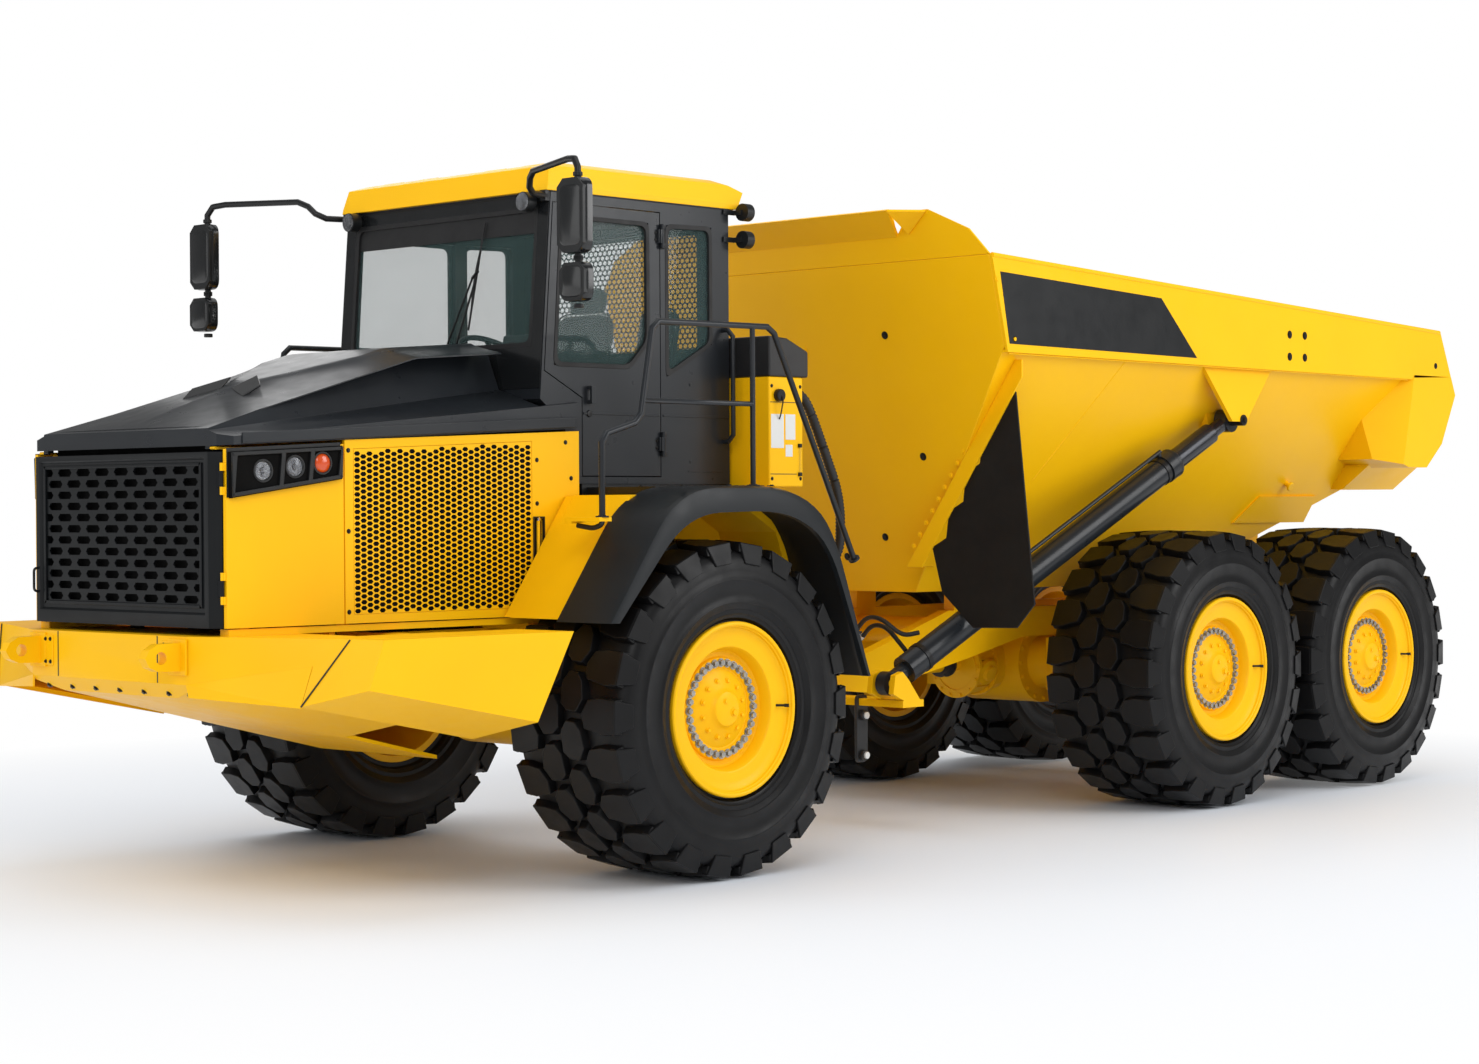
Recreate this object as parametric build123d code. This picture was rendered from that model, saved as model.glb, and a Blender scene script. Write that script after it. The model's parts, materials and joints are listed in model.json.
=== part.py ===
"""Articulated dump truck: a tractor with a cab, a hitch, and a six-wheel tipping trailer frame.

Millimetres, +Z up. The front faces -Y and the driver's left is +X. Sizes below are measured
from the front axle on the ground; out() moves every piece so that the origin is the bottom
centre of the whole machine's bounding box.
"""
from build123d import *
import math
import os

# ---------------------------------------------------------------- driving dimensions
WHEEL_R = 930.0            # tyre radius over the lugs
TYRE_W = 875.0             # tyre section width
TRACK_HALF = 1435.0        # centre plane of a wheel from the middle of the machine
RIM_R = 482.0              # outer radius of the rim's flange
MID_AXLE_Y = 4770.0        # front axle to middle axle
BOGIE = 1950.0             # middle axle to rear axle
PIVOT_Y = 1600.0           # steering pivot behind the front axle
FRONT_REACH = 3000.0       # tow lug tips ahead of the front axle
REAR_REACH = 8050.0        # tail tip behind the front axle
SEAT = 0.2                 # gap between a tyre's bead and its rim
GAP = 0.3                  # running face gap at a pin, an ear or a hub
FIT = 0.08                 # radial clearance of a rod in its barrel
CLEAR = 6.0                # clearance round a door, a lid and a cylinder's eye

CAB_HALF = 900.0           # half width of the cab
CAB_FRONT, CAB_REAR = -560.0, 950.0
CAB_FLOOR, CAB_WAIST, CAB_TOP = 2170.0, 2780.0, 3800.0
ROOF_TOP = 3970.0
PANE = 8.0                 # glass thickness
SHEET = 12.0               # cab and hood sheet thickness

NOSE_HALF = 870.0          # half width of the nose
NOSE_FRONT = -2650.0       # plane of the grille
NOSE_SPREAD = 1.56         # degrees that the nose's sides open towards the cab
GRILLE_FACE = -2700.0      # front plane of the grille door
NOSE_BOTTOM, NOSE_TOP = 1440.0, 2326.0
BUMPER_TOP = 1400.0
PANEL_T = 24.0             # thickness of the engine side panels

FENDER_X0, FENDER_X1 = 1440.0, 1860.0
FENDER_T = 45.0

BIN_HALF = 1720.0          # half width over the bin's side walls
BIN_FLOOR_HALF = 640.0     # half width of the bin's floor at the headboard
BIN_RIM_FRONT = (2420.0, 3575.0)   # top edge of the side wall, y and z
BIN_RIM_REAR = (7830.0, 3320.0)
BIN_RIB_Z = 2990.0         # where the vertical band meets the sloping wall
BIN_WALL = 16.0
BIN_FRONT_LEAN = 0.26      # headboard: travel in y for each unit of height
BIN_FLOOR_FRONT_Z = 1470.0
TIP_PIVOT = (7050.0, 1500.0)       # bin hinge, y and z
TIP_ANGLE = 70.0

TIP_BASE = (1050.0, 2200.0, 930.0)  # lower pin of the left tipping cylinder
TIP_TOP = (1530.0, 5240.0, 2610.0)  # upper pin of the left tipping cylinder
TIP_BORE, TIP_STAGE, TIP_ROD = 90.0, 72.0, 50.0     # radii

STEER_BASE = (500.0, 640.0, 985.0)  # front pin of the left steering cylinder
STEER_TIP = (400.0, 1880.0, 985.0)  # its rear pin, on the hitch
STEER_TRAVEL = 300.0       # how far its rod goes in and out from straight ahead
STEER_ANGLE = 42.0

RAIL_TUBE = 17.0           # radius of the handrail tube
GRILLE_ROWS, GRILLE_COLUMNS = 12, 8

AXIS_Z = WHEEL_R
REAR_AXLE_Y = MID_AXLE_Y + BOGIE
SHIFT_Y = (FRONT_REACH - REAR_REACH) / 2


# ---------------------------------------------------------------- helpers
def out(name, shape):
    """Write one node, moved to the machine's own origin."""
    solids = [Pos(0, SHIFT_Y, 0) * solid for solid in shape.solids()]
    export_step(solids[0] if len(solids) == 1 else Compound(children=solids), f"parts/{name}.step")


def block(x0, x1, y0, y1, z0, z1):
    """Box between two corners."""
    box = Box(abs(x1 - x0), abs(y1 - y0), abs(z1 - z0))
    return Pos((x0 + x1) / 2, (y0 + y1) / 2, (z0 + z1) / 2) * box


def trimmed(shape, planes, inset=0.0):
    """Keep what lies inside every plane, given as (point, outward normal), moved inward by inset."""
    for point, normal in planes:
        outward = Vector(*normal).normalized()
        plane = Plane(origin=Vector(*point) - outward * inset, z_dir=outward)
        shape = split(shape, bisect_by=plane, keep=Keep.BOTTOM)
    return shape


def face_of(points):
    """Flat face through a closed outline of 3-D points."""
    return make_face(Polyline(*points, close=True))


def side_plate(outline, x0, x1):
    """Outline of (y, z) points, carried along X."""
    return extrude(face_of([(x0, y, z) for y, z in outline]), amount=x1 - x0, dir=(1, 0, 0))


def cross_plate(outline, y0, y1):
    """Outline of (x, z) points, carried along Y."""
    return extrude(face_of([(x, y0, z) for x, z in outline]), amount=y1 - y0, dir=(0, 1, 0))


def flat_plate(outline, z0, z1):
    """Outline of (x, y) points, carried up along Z."""
    return extrude(face_of([(x, y, z0) for x, y in outline]), amount=z1 - z0, dir=(0, 0, 1))


def rod(start, end, radius):
    """Round bar between two points."""
    start, end = Vector(*start), Vector(*end)
    span = end - start
    plane = Plane(origin=start, z_dir=span)
    return Solid.make_cylinder(radius, span.length, plane)


def ball(centre, radius):
    """Ball with its poles on the X axis."""
    return Pos(*centre) * Rot(0, 90, 0) * Sphere(radius)


def cone(start, end, r0, r1):
    """Round taper between two points."""
    start, end = Vector(*start), Vector(*end)
    span = end - start
    return Solid.make_cone(r0, r1, span.length, Plane(origin=start, z_dir=span))


def eased(points, ease):
    """Route with every corner cut back by ease on both sides."""
    route = [Vector(*points[0])]
    for before, corner, after in zip(points, points[1:], points[2:]):
        corner = Vector(*corner)
        for other in (before, after):
            route.append(corner + (Vector(*other) - corner).normalized() * ease)
    return route + [Vector(*points[-1])]


def pipe(points, radius, ease):
    """Tube through points, its corners eased and mitred."""
    path = Polyline(*eased(points, ease))
    profile = Plane(origin=path @ 0, z_dir=path % 0) * Circle(radius)
    return sweep(profile, path=path, transition=Transition.RIGHT)


def both(shape):
    """The shape and its mirror image on the other side."""
    return Compound(children=list(shape.solids()) + list(mirror(shape, about=Plane.YZ).solids()))


def joined(*shapes):
    """One body from pieces that touch or overlap."""
    body = shapes[0]
    for shape in shapes[1:]:
        body = body + shape
    return body


def group(*shapes):
    """Separate solids kept in one node."""
    return Compound(children=[solid for shape in shapes for solid in shape.solids()])


def mirrored(shape):
    """Mirror image on the machine's right side."""
    return mirror(shape, about=Plane.YZ)


# ---------------------------------------------------------------- wheels
def tyre(x, y):
    """Hollow carcass, its bead closed on the rim."""
    w = TYRE_W / 2
    seat = w - 60 - SEAT
    half = [
        (seat, RIM_R - 20), (seat, RIM_R + 5), (w - 14, RIM_R + 70), (w, 690), (w - 16, 880),
        (w - 70, WHEEL_R - 14), (110, WHEEL_R),
    ]
    hollow = [(w - 110, RIM_R - 20), (w - 65, 640), (w - 150, 845)]
    outer = half + [(-dx, r) for dx, r in reversed(half)]
    inner = [(-dx, r) for dx, r in hollow] + list(reversed(hollow))
    section = face_of([(x + dx, y, AXIS_Z + r) for dx, r in outer + inner])
    return revolve(section, axis=Axis((x, y, AXIS_Z), (1, 0, 0)))


def rim(x, y, side):
    """Rim, dished disc and hub as one turned piece; side is +1 on the left."""
    w = TYRE_W / 2
    bead = RIM_R - 20 - SEAT
    outline = [
        (-w + 60, bead), (w - 60, bead), (w - 60, RIM_R), (w - 22, RIM_R), (w - 22, RIM_R - 25),
        (w - 62, 395), (w - 112, 315), (w - 112, 281), (w - 92, 278), (w - 92, 226), (w - 104, 222),
        (w - 62, 90), (w - 52, 83), (w - 52, 0), (-w + 150, 0), (-w + 150, 190), (w - 190, 190),
        (w - 120, RIM_R - 60), (-w + 60, RIM_R - 60),
    ]
    section = face_of([(x + side * dx, y, AXIS_Z + r) for dx, r in outline])
    return revolve(section, axis=Axis((x, y, AXIS_Z), (1, 0, 0)))


CAB_POSTS = ((-560, -480), (880, 960))
BASE_LOW = 2060.0          # underside of the cab's base
HUB_FACE = TRACK_HALF - TYRE_W / 2 + 150 - GAP      # end of an axle housing, against the hub


# ---------------------------------------------------------------- tractor
RAIL_IN, RAIL_OUT = 360.0, 460.0
FORK_R = 150.0             # radius of the lugs round the steering pin
FORK_TOP, FORK_LOW = 1130.0, 690.0
FORK_T = 80.0              # thickness of a lug
FORK_WEB = 280.0           # half width of the web between the lugs, clear of the cylinders


def front_frame():
    """Chassis rails, cross members and the steering fork."""
    rail = [
        (-2440, 1120), (-2440, 1360), (1290, 1360), (1290, 1170), (900, 1130), (-900, 1130),
        (-2100, 1060),
    ]
    rails = both(side_plate(rail, RAIL_IN, RAIL_OUT))
    pieces = [rails]
    for y0, y1, z0, z1 in ((-2440, -2380, 1120, 1360), (-700, -600, 1130, 1220), (600, 700, 1130, 1220)):
        pieces.append(block(-RAIL_IN, RAIL_IN, y0, y1, z0, z1))
    pieces.append(block(-RAIL_OUT, RAIL_OUT, 1130, 1290, 1100, 1360))
    pieces.append(block(-FORK_WEB, FORK_WEB, 1130, 1290, 600, 1101))
    for z0 in (FORK_TOP, FORK_LOW - FORK_T):
        lug = [(-330, 1280), (330, 1280), (FORK_R, PIVOT_Y), (-FORK_R, PIVOT_Y)]
        pieces.append(flat_plate(lug, z0, z0 + FORK_T))
        pieces.append(rod((0, PIVOT_Y, z0), (0, PIVOT_Y, z0 + FORK_T), FORK_R))
    pieces.append(rod((0, PIVOT_Y, FORK_TOP + FORK_T), (0, PIVOT_Y, FORK_TOP + FORK_T + 25), 95))
    x, y, z = STEER_BASE
    ear = [(RAIL_IN + 10, y - 90), (x + 60, y - 60), (x + 60, y + 60), (RAIL_IN + 10, y + 90)]
    ears = []
    for z0, z1 in ((z + 45 + GAP, z + 75), (z - 75, z - 45 - GAP)):
        ears.append(flat_plate(ear, z0, z1))
    hanger = block(RAIL_IN, RAIL_IN + 45, y - 90, y + 90, z - 75, 1135)
    ears.append(hanger)
    pieces.append(both(joined(*ears)))
    # outriggers that carry the bumper, and those with posts up to the cab's base
    for y0, y1 in ((-2420, -2340), (-1640, -1560)):
        pieces.append(both(block(RAIL_OUT - 1, 1440, y0, y1, 1250, BUMPER_TOP - 20)))
    for y0, y1 in CAB_POSTS:
        pieces.append(both(block(RAIL_OUT - 1, 840, y0, y1, 1250, 1350)))
        pieces.append(both(block(760, 840, y0, y1, 1349, BASE_LOW)))
    return joined(*pieces)


AXLE_TAPER = (190.0, 130.0)                 # radii of the housing beside and away from its bowl


def axle_beam(y):
    """Axle housing with its differential bowl and hub ends."""
    beam = [
        rod((-HUB_FACE, y, AXIS_Z), (HUB_FACE, y, AXIS_Z), 125),
        both(cone((300, y, AXIS_Z), (760, y, AXIS_Z), *AXLE_TAPER)),
        rod((-305, y, AXIS_Z), (305, y, AXIS_Z), 290),
        both(rod((HUB_FACE - 60, y, AXIS_Z), (HUB_FACE, y, AXIS_Z), 180)),
    ]
    return joined(*beam)


def front_axle():
    """Front axle, its spring saddles up to the rails and the strut to the frame."""
    saddle = side_plate([(-150, AXIS_Z), (150, AXIS_Z), (110, 1130), (-110, 1130)], RAIL_IN + 5, RAIL_OUT - 5)
    return joined(axle_beam(0), both(saddle))


BUMPER_HALF = 700.0        # half width of the bumper's flat front
BUMPER_FRONT = -2780.0
WING_X, WING_Y = 1580.0, -2430.0            # top corner where the wing starts
BUMPER_T = 20.0
CORNER = (0.3697, -0.9292, 0)               # outward normal of the left corner face
BELLY = ((0, -2705, 1080), (0, -0.25, -1))
BUMPER_PLANES = (
    ((0, 0, BUMPER_TOP), (0, 0, 1)),
    ((0, BUMPER_FRONT, 0), (0, -1, 0)),
    ((BUMPER_HALF, BUMPER_FRONT, 0), CORNER),
    ((-BUMPER_HALF, BUMPER_FRONT, 0), (-CORNER[0], CORNER[1], 0)),
    ((0, BUMPER_FRONT, 1157), (0, -0.716, -0.698)),
    BELLY,
    ((520, -2705, 1080), (0.20, -0.25, -1)),
    ((-520, -2705, 1080), (-0.20, -0.25, -1)),
)
WING_PLANES = (
    ((0, 0, BUMPER_TOP), (0, 0, 1)),
    ((WING_X, WING_Y, BUMPER_TOP), (0.136, -1, 0.375)),
    ((1800, -2400, BUMPER_TOP), (1, -0.0246, 0)),
    ((1800, -2490, 1160), (0.266, -0.2076, -1)),
)
BUMPER_REAR = ((0, -1180, BUMPER_TOP), (0, 460, -250))
LUG_X, LUG_Y, LUG_Z = 640.0, -2905.0, 1296.0
LUG_BORE = 32.0


def bumper_wing():
    """Left wing beside the engine, hollow towards the wheel."""
    blank = block(1380, 1900, -2900, -1000, 600, 1500)
    shell = trimmed(blank, WING_PLANES + (BUMPER_REAR,))
    hollow = trimmed(blank, WING_PLANES, BUMPER_T)
    return shell - Pos(-BUMPER_T, 0, 0) * hollow


def bumper_corner():
    """Left corner sheet from the front face to the wing."""
    start, end = (BUMPER_HALF - 10, BUMPER_FRONT + 2), (WING_X, WING_Y)
    strip = flat_plate([start, end, (end[0], end[1] + 22), (start[0], start[1] + 22)], 1000, BUMPER_TOP)
    return trimmed(strip, (((700, -2780, 1157), (0.137, 0.0, -1)), ((1405, 0, 1060), (0.99, 0, -0.51))))


def bumper():
    """Faceted bumper with its wings, belly plate and two tow lugs."""
    blank = block(-1570, 1570, -2900, -1640, 600, 1500)
    shell = trimmed(blank, BUMPER_PLANES)
    hollow = trimmed(block(-1600, 1600, -2900, -1500, 600, 1500), BUMPER_PLANES, BUMPER_T)
    opening = flat_plate([(-1340, -2200), (1340, -2200), (1340, -900), (-1340, -900)], 1300, 1500)
    lug = side_plate(
        [(BUMPER_FRONT + 5, 1225), (BUMPER_FRONT + 5, 1370), (-2925, 1366), (-2975, 1338),
         (-3000, 1296), (-2975, 1252), (-2925, 1230)], -30, 30)
    lug = lug - rod((-40, LUG_Y, LUG_Z), (40, LUG_Y, LUG_Z), LUG_BORE)
    lugs = [Pos(side * LUG_X, 0, 0) * lug for side in (-1, 1)]
    skid = side_plate([(-1660, 819), (-1000, 654), (-1000, 674), (-1660, 839)], -520, 520)
    sides = both(joined(bumper_wing(), bumper_corner()))
    return joined(shell - hollow - opening, *lugs, skid, sides)


def engine_block():
    """Plain engine and gearbox mass between the rails."""
    engine = block(-330, 330, -2050, -760, 1100, 2200)
    gearbox = block(-300, 300, -770, 500, 1225, 1640)
    feet = both(block(300, RAIL_IN + 60, -1500, -1300, 1360, 1480))
    engine = engine - block(-400, 400, -2100, -640, 1000, 1180)
    return joined(engine, gearbox, feet)


def radiator():
    """Cooling pack behind the grille, standing on the rails."""
    core = block(-760, 760, -2480, -2300, 1480, 2270)
    feet = both(block(RAIL_IN, RAIL_OUT, -2330, -2300, BUMPER_TOP, 1490))
    fan = rod((0, -2300, 1880), (0, -2180, 1880), 380)
    return joined(core, feet, fan)


PANEL_FRONT, PANEL_REAR = -1918.0, -300.0   # side panel's front and rear edges
PANEL_LOW, PANEL_TOP_FRONT, PANEL_TOP_REAR = 1440.0, 2394.0, 2464.0
MESH_REAR = -645.0                          # rear edge of the perforated field
GRILLE_PIVOT = (NOSE_HALF - 18, NOSE_FRONT - 14)       # x and y of the grille's hinge line
GRILLE_HINGES = (1600.0, 2150.0)            # lower ends of its two knuckles
HOOD_PIVOT = (NOSE_FRONT - 10, 2345.0)      # y and z of the hood's hinge line
HOOD_HINGE_X = 760.0                        # where the hood's knuckle meets the nose's ear


def spread(shape):
    """Swing a left side piece outward about the nose's front corner."""
    corner = Pos(NOSE_HALF, NOSE_FRONT, 0)
    return corner * Rot(0, 0, -NOSE_SPREAD) * corner.inverse() * shape


def nose_panels():
    """Yellow sheet work beside the radiator and behind the side doors, standing on the bumper."""
    t = 25.0
    low = BUMPER_TOP
    front_side = side_plate([(NOSE_FRONT, low + 40), (NOSE_FRONT, 2340), (-1926, 2372), (-1926, low + 40)],
                            NOSE_HALF - t, NOSE_HALF)
    sill = block(NOSE_HALF - 90, NOSE_HALF - 12, NOSE_FRONT + 20, -570, low, low + 34)
    riser = block(NOSE_HALF - 90, NOSE_HALF - t + 1, -1960, -1880, low, 2360)
    rear_riser = block(NOSE_HALF - 90, NOSE_HALF - t + 1, -606, -568, low, 2430)
    front_riser = block(NOSE_HALF - 90, NOSE_HALF - t + 1, -2560, -2500, low, HOOD_PIVOT[1])
    top_rail = side_plate([(-2560, 2300), (-2560, 2328), (-600, 2430), (-600, 2402)],
                          NOSE_HALF - 90, NOSE_HALF - 50)
    ties = [block(RAIL_IN + 20, NOSE_HALF - 30, y0, y1, 1360, low + 1) for y0, y1 in ((-1990, -1950), (-605, -575))]
    knuckles = []
    for z in GRILLE_HINGES:
        for z0, z1 in ((z - 40, z - GAP), (z + 80 + GAP, z + 120)):
            knuckles.append(rod((*GRILLE_PIVOT, z0), (*GRILLE_PIVOT, z1), 9))
            knuckles.append(block(NOSE_HALF - t, NOSE_HALF - 5, NOSE_FRONT - 13, NOSE_FRONT + 1, z0, z1))
    ear = rod((HOOD_HINGE_X + GAP, *HOOD_PIVOT), (HOOD_HINGE_X + 40, *HOOD_PIVOT), 8)
    ear = ear + block(HOOD_HINGE_X + 12, HOOD_HINGE_X + 40, HOOD_PIVOT[0], -2510, HOOD_PIVOT[1] - 6, HOOD_PIVOT[1] + 6)
    sheets = spread(joined(front_side, sill, riser, rear_riser, front_riser, top_rail))
    sheets = sheets + ear
    plates = joined(sheets, *ties)
    return group(joined(plates, *knuckles), mirrored(plates))


LAMP_SPOTS = ((-2440, 2231), (-2244, 2253), (-2073, 2272))


def lamp_pods():
    """Black bezels on the nose's sides, each with three round lamps."""
    outline = [(-2635, 2092), (-2640, 2325), (-1945, 2364), (-1950, 2190)]
    pod = side_plate(outline, NOSE_HALF, NOSE_HALF + 22)
    for y, z in LAMP_SPOTS:
        pod = pod - rod((NOSE_HALF + 8, y, z), (NOSE_HALF + 40, y, z), 62)
        pod = pod + rod((NOSE_HALF, y, z), (NOSE_HALF + 16, y, z), 52)
    return both(spread(pod))


def grille_door():
    """Hinged front grille: a bevelled frame round a plate with rows of rounded slots."""
    half = NOSE_HALF - 34
    y0, y1 = GRILLE_FACE, NOSE_FRONT + 30
    bevels = (((half, NOSE_FRONT, 0), (1, -1, 0)), ((-half, NOSE_FRONT, 0), (-1, -1, 0)))
    frame = trimmed(block(-half, half, y0, y1, NOSE_BOTTOM, NOSE_TOP), bevels)
    frame = frame - block(-715, 715, y0 + 12, y1 + 5, 1545, 2268)
    bevel = extrude(face_of([(-755, y0 - 1, 1505), (755, y0 - 1, 1505), (755, y0 - 1, 2300), (-755, y0 - 1, 2300)]),
                    amount=13, dir=(0, 1, 0), taper=45)
    plate = block(-720, 720, y0 + 14, y0 + 22, 1540, 2272)
    field = block(-704, 704, y0, y1, 1552, 2266)
    pitch_x, pitch_z = 1408 / GRILLE_COLUMNS, 714 / GRILLE_ROWS
    slots = []
    for row in range(GRILLE_ROWS):
        z = 1552 + pitch_z * (row + 0.5)
        for column in range(GRILLE_COLUMNS + row % 2):
            x = -704 + pitch_x * (column + 0.5 - row % 2 / 2)
            slot = [(x - 66, z), (x - 48, z + 20), (x + 48, z + 20), (x + 66, z), (x + 48, z - 20), (x - 48, z - 20)]
            slots.append(cross_plate(slot, y0 + 10, y0 + 30))
    plate = plate - (Compound(children=slots) & field)
    knuckles = [rod((*GRILLE_PIVOT, z), (*GRILLE_PIVOT, z + 80), 9) for z in GRILLE_HINGES]
    arms = [block(half - 30, GRILLE_PIVOT[0], GRILLE_PIVOT[1] - 5, NOSE_FRONT - 2, z, z + 80) for z in GRILLE_HINGES]
    return joined(frame - bevel, plate, *knuckles, *arms)


def side_panels():
    """Engine side panels: a sheet with a slotted field, a slanting corner and a recessed grip."""
    x0, x1 = NOSE_HALF - PANEL_T, NOSE_HALF
    sheet = side_plate([(PANEL_FRONT, PANEL_LOW), (PANEL_FRONT, PANEL_TOP_FRONT), (PANEL_REAR, PANEL_TOP_REAR),
                        (PANEL_REAR, 1937), (PANEL_REAR - 298, PANEL_LOW)], x0, x1)
    field = [(PANEL_FRONT + 55, PANEL_LOW + 45), (PANEL_FRONT + 55, PANEL_TOP_FRONT - 45),
             (MESH_REAR, PANEL_TOP_REAR - 60), (MESH_REAR, PANEL_LOW + 45)]
    sheet = sheet - side_plate(field, x0 - 5, x1 - 14) - side_plate(field, x1 - 6, x1 + 5)
    low, high = PANEL_LOW + 70, PANEL_TOP_FRONT - 75
    pitch = 115
    slots = []
    for column in range(int((MESH_REAR - PANEL_FRONT - 80) // pitch)):
        y = PANEL_FRONT + 80 + column * pitch
        slots.append(side_plate([(y, low), (y, high), (y + 85, high), (y + 85, low)], x1 - 20, x1))
    recess = block(x1 - 16, x1 + 5, MESH_REAR + 12, MESH_REAR + 80, 1700, 1980)
    grip = rod((x1 - 4, MESH_REAR + 46, 1695), (x1 - 4, MESH_REAR + 46, 1985), 10)
    return both(spread((sheet - Compound(children=slots) - recess) + grip))


HOOD_LOW = 2356.0
HOOD_TOPS = (((0, NOSE_FRONT, 2452), (0, -0.290, 1)), ((0, -1270, 2852), (0, -0.077, 1)))


def hood_body(inset):
    """Hood outline: sloping shoulders under a raised centre that narrows to the rear."""
    base = trimmed(block(-950, 950, NOSE_FRONT - 20, PANEL_REAR, 2300, 3000), HOOD_TOPS + (
        ((880, NOSE_FRONT, 2400), (0.30, -0.10, 1)),
        ((-880, NOSE_FRONT, 2400), (-0.30, -0.10, 1)),
        ((880, NOSE_FRONT, 0), (1, -0.0190, 0)),
        ((-880, NOSE_FRONT, 0), (-1, -0.0190, 0)),
        ((880, NOSE_FRONT + 40, 0), (1, -1, 0)),
        ((-880, NOSE_FRONT + 40, 0), (-1, -1, 0)),
        ((0, PANEL_REAR, 2628), (0, 0.9, 0.45)),
    ), inset)
    raised = trimmed(block(-950, 950, NOSE_FRONT - 20, -400, 2300, 3000), HOOD_TOPS + (
        ((745, NOSE_FRONT, 2452), (1, 0.03, 0.45)),
        ((-745, NOSE_FRONT, 2452), (-1, 0.03, 0.45)),
        ((0, -560, 2905), (0, 1, 0.62)),
    ), inset)
    return base + raised


def hood():
    """Dark hood shell, open below, with its front hinge knuckles."""
    lower = side_plate([(NOSE_FRONT - 40, HOOD_LOW), (NOSE_FRONT - 40, 3100), (0, 3100), (0, 2540),
                        (PANEL_REAR, 2478), (-600, 2460), (-1930, 2400)], -1000, 1000)
    outer = hood_body(0.0) & lower
    inner = hood_body(SHEET) & (Pos(0, 0, -SHEET * 1.5) * lower)
    front = block(-900, 900, NOSE_FRONT - 60, NOSE_FRONT + SHEET, 2300, 2600)
    cab_space = block(-CAB_HALF - CLEAR, CAB_HALF + CLEAR, CAB_FRONT - 15, 0, 2300, 3100)
    knuckle = rod((HOOD_HINGE_X - 40, *HOOD_PIVOT), (HOOD_HINGE_X, *HOOD_PIVOT), 8)
    y, z = HOOD_PIVOT
    knuckle = knuckle + block(HOOD_HINGE_X - 40, HOOD_HINGE_X, y - 6, y + 30, z, z + 14)
    return joined(outer - (inner - front) - cab_space, both(knuckle))


WALL = 45.0                # cab pillar depth
SIDE_OUTLINE = (
    (-560, 2640), (-470, CAB_TOP), (CAB_REAR, CAB_TOP), (CAB_REAR, CAB_FLOOR), (-300, CAB_FLOOR), (-380, 2500),
)
DOOR_Y0, DOOR_Y1 = -500.0, 375.0
DOOR_Z0, DOOR_Z1 = 2215.0, 3735.0
DOOR_HINGE = (CAB_HALF + 18, DOOR_Y1 + 8)   # x and y of the hinge line on the pillar
DOOR_OUTLINE = ((-525, 2800), (-455, DOOR_Z1), (DOOR_Y1, DOOR_Z1), (DOOR_Y1, DOOR_Z0), (-240, DOOR_Z0), (-240, 2655))
DOOR_PANE = ((-455, 2830), (-400, 3670), (285, 3670), (285, 2985), (130, 2830))
QUARTER_PANE = ((426, 3670), (803, 3680), (803, 2990), (426, 2790))
WINDSCREEN_LOW, WINDSCREEN_HIGH = 2930.0, 3720.0
REAR_PANE = ((-680, 2960), (680, 2960), (680, 3690), (-680, 3690))


def cab_section(inset):
    """Side view of the cab, moved inward by inset."""
    front, low = inset * 1.02, inset
    return [(-560 + front, 2640 + inset * 0.5), (-470 + front, CAB_TOP - inset), (CAB_REAR - inset, CAB_TOP - inset),
            (CAB_REAR - inset, CAB_FLOOR + low), (-300 + front, CAB_FLOOR + low), (-380 + front, 2500 + inset * 0.4)]


def grown(outline, amount):
    """Outline moved outward on every side."""
    points = [(0, p, q) for p, q in outline]
    wire = Wire.make_polygon(points, close=True)
    return [(v.Y, v.Z) for v in offset(wire, amount, kind=Kind.INTERSECTION).vertices()]


def cab_shell():
    """Hollow cab with its pillars, window openings, floor and the left door's opening."""
    shell = side_plate(cab_section(0), -CAB_HALF, CAB_HALF)
    room = side_plate(cab_section(WALL), -CAB_HALF + WALL, CAB_HALF - WALL)
    door = side_plate(grown(DOOR_OUTLINE, CLEAR), CAB_HALF - 80, CAB_HALF + 50)
    quarter = side_plate(QUARTER_PANE, -CAB_HALF - 50, CAB_HALF + 50)
    right = side_plate([(-440, 2850), (-385, 3670), (330, 3670), (330, 2850)], -CAB_HALF - 50, -CAB_HALF + 80)
    screen = block(-810, 810, -700, -350, WINDSCREEN_LOW, WINDSCREEN_HIGH)
    back = cross_plate(REAR_PANE, CAB_REAR - 80, CAB_REAR + 50)
    return shell - room - door - quarter - right - screen - back


def front_y(z):
    """Outer face of the windscreen plane at a height."""
    return -560 + 90 * (z - 2640) / (CAB_TOP - 2640)


def cab_glass():
    """Windscreen, quarter panes, right side pane and rear pane, set in their openings."""
    depth = 18
    x = CAB_HALF - depth
    low, high = WINDSCREEN_LOW, WINDSCREEN_HIGH
    screen = side_plate([(front_y(low) + depth, low), (front_y(high) + depth, high),
                         (front_y(high) + depth + PANE, high), (front_y(low) + depth + PANE, low)], -810, 810)
    quarters = [side_plate(QUARTER_PANE, side * x - PANE / 2, side * x + PANE / 2) for side in (-1, 1)]
    right = side_plate([(-440, 2850), (-385, 3670), (330, 3670), (330, 2850)], -x - PANE / 2, -x + PANE / 2)
    back = cross_plate(REAR_PANE, CAB_REAR - depth - PANE, CAB_REAR - depth)
    return group(screen, *quarters, right, back)


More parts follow.
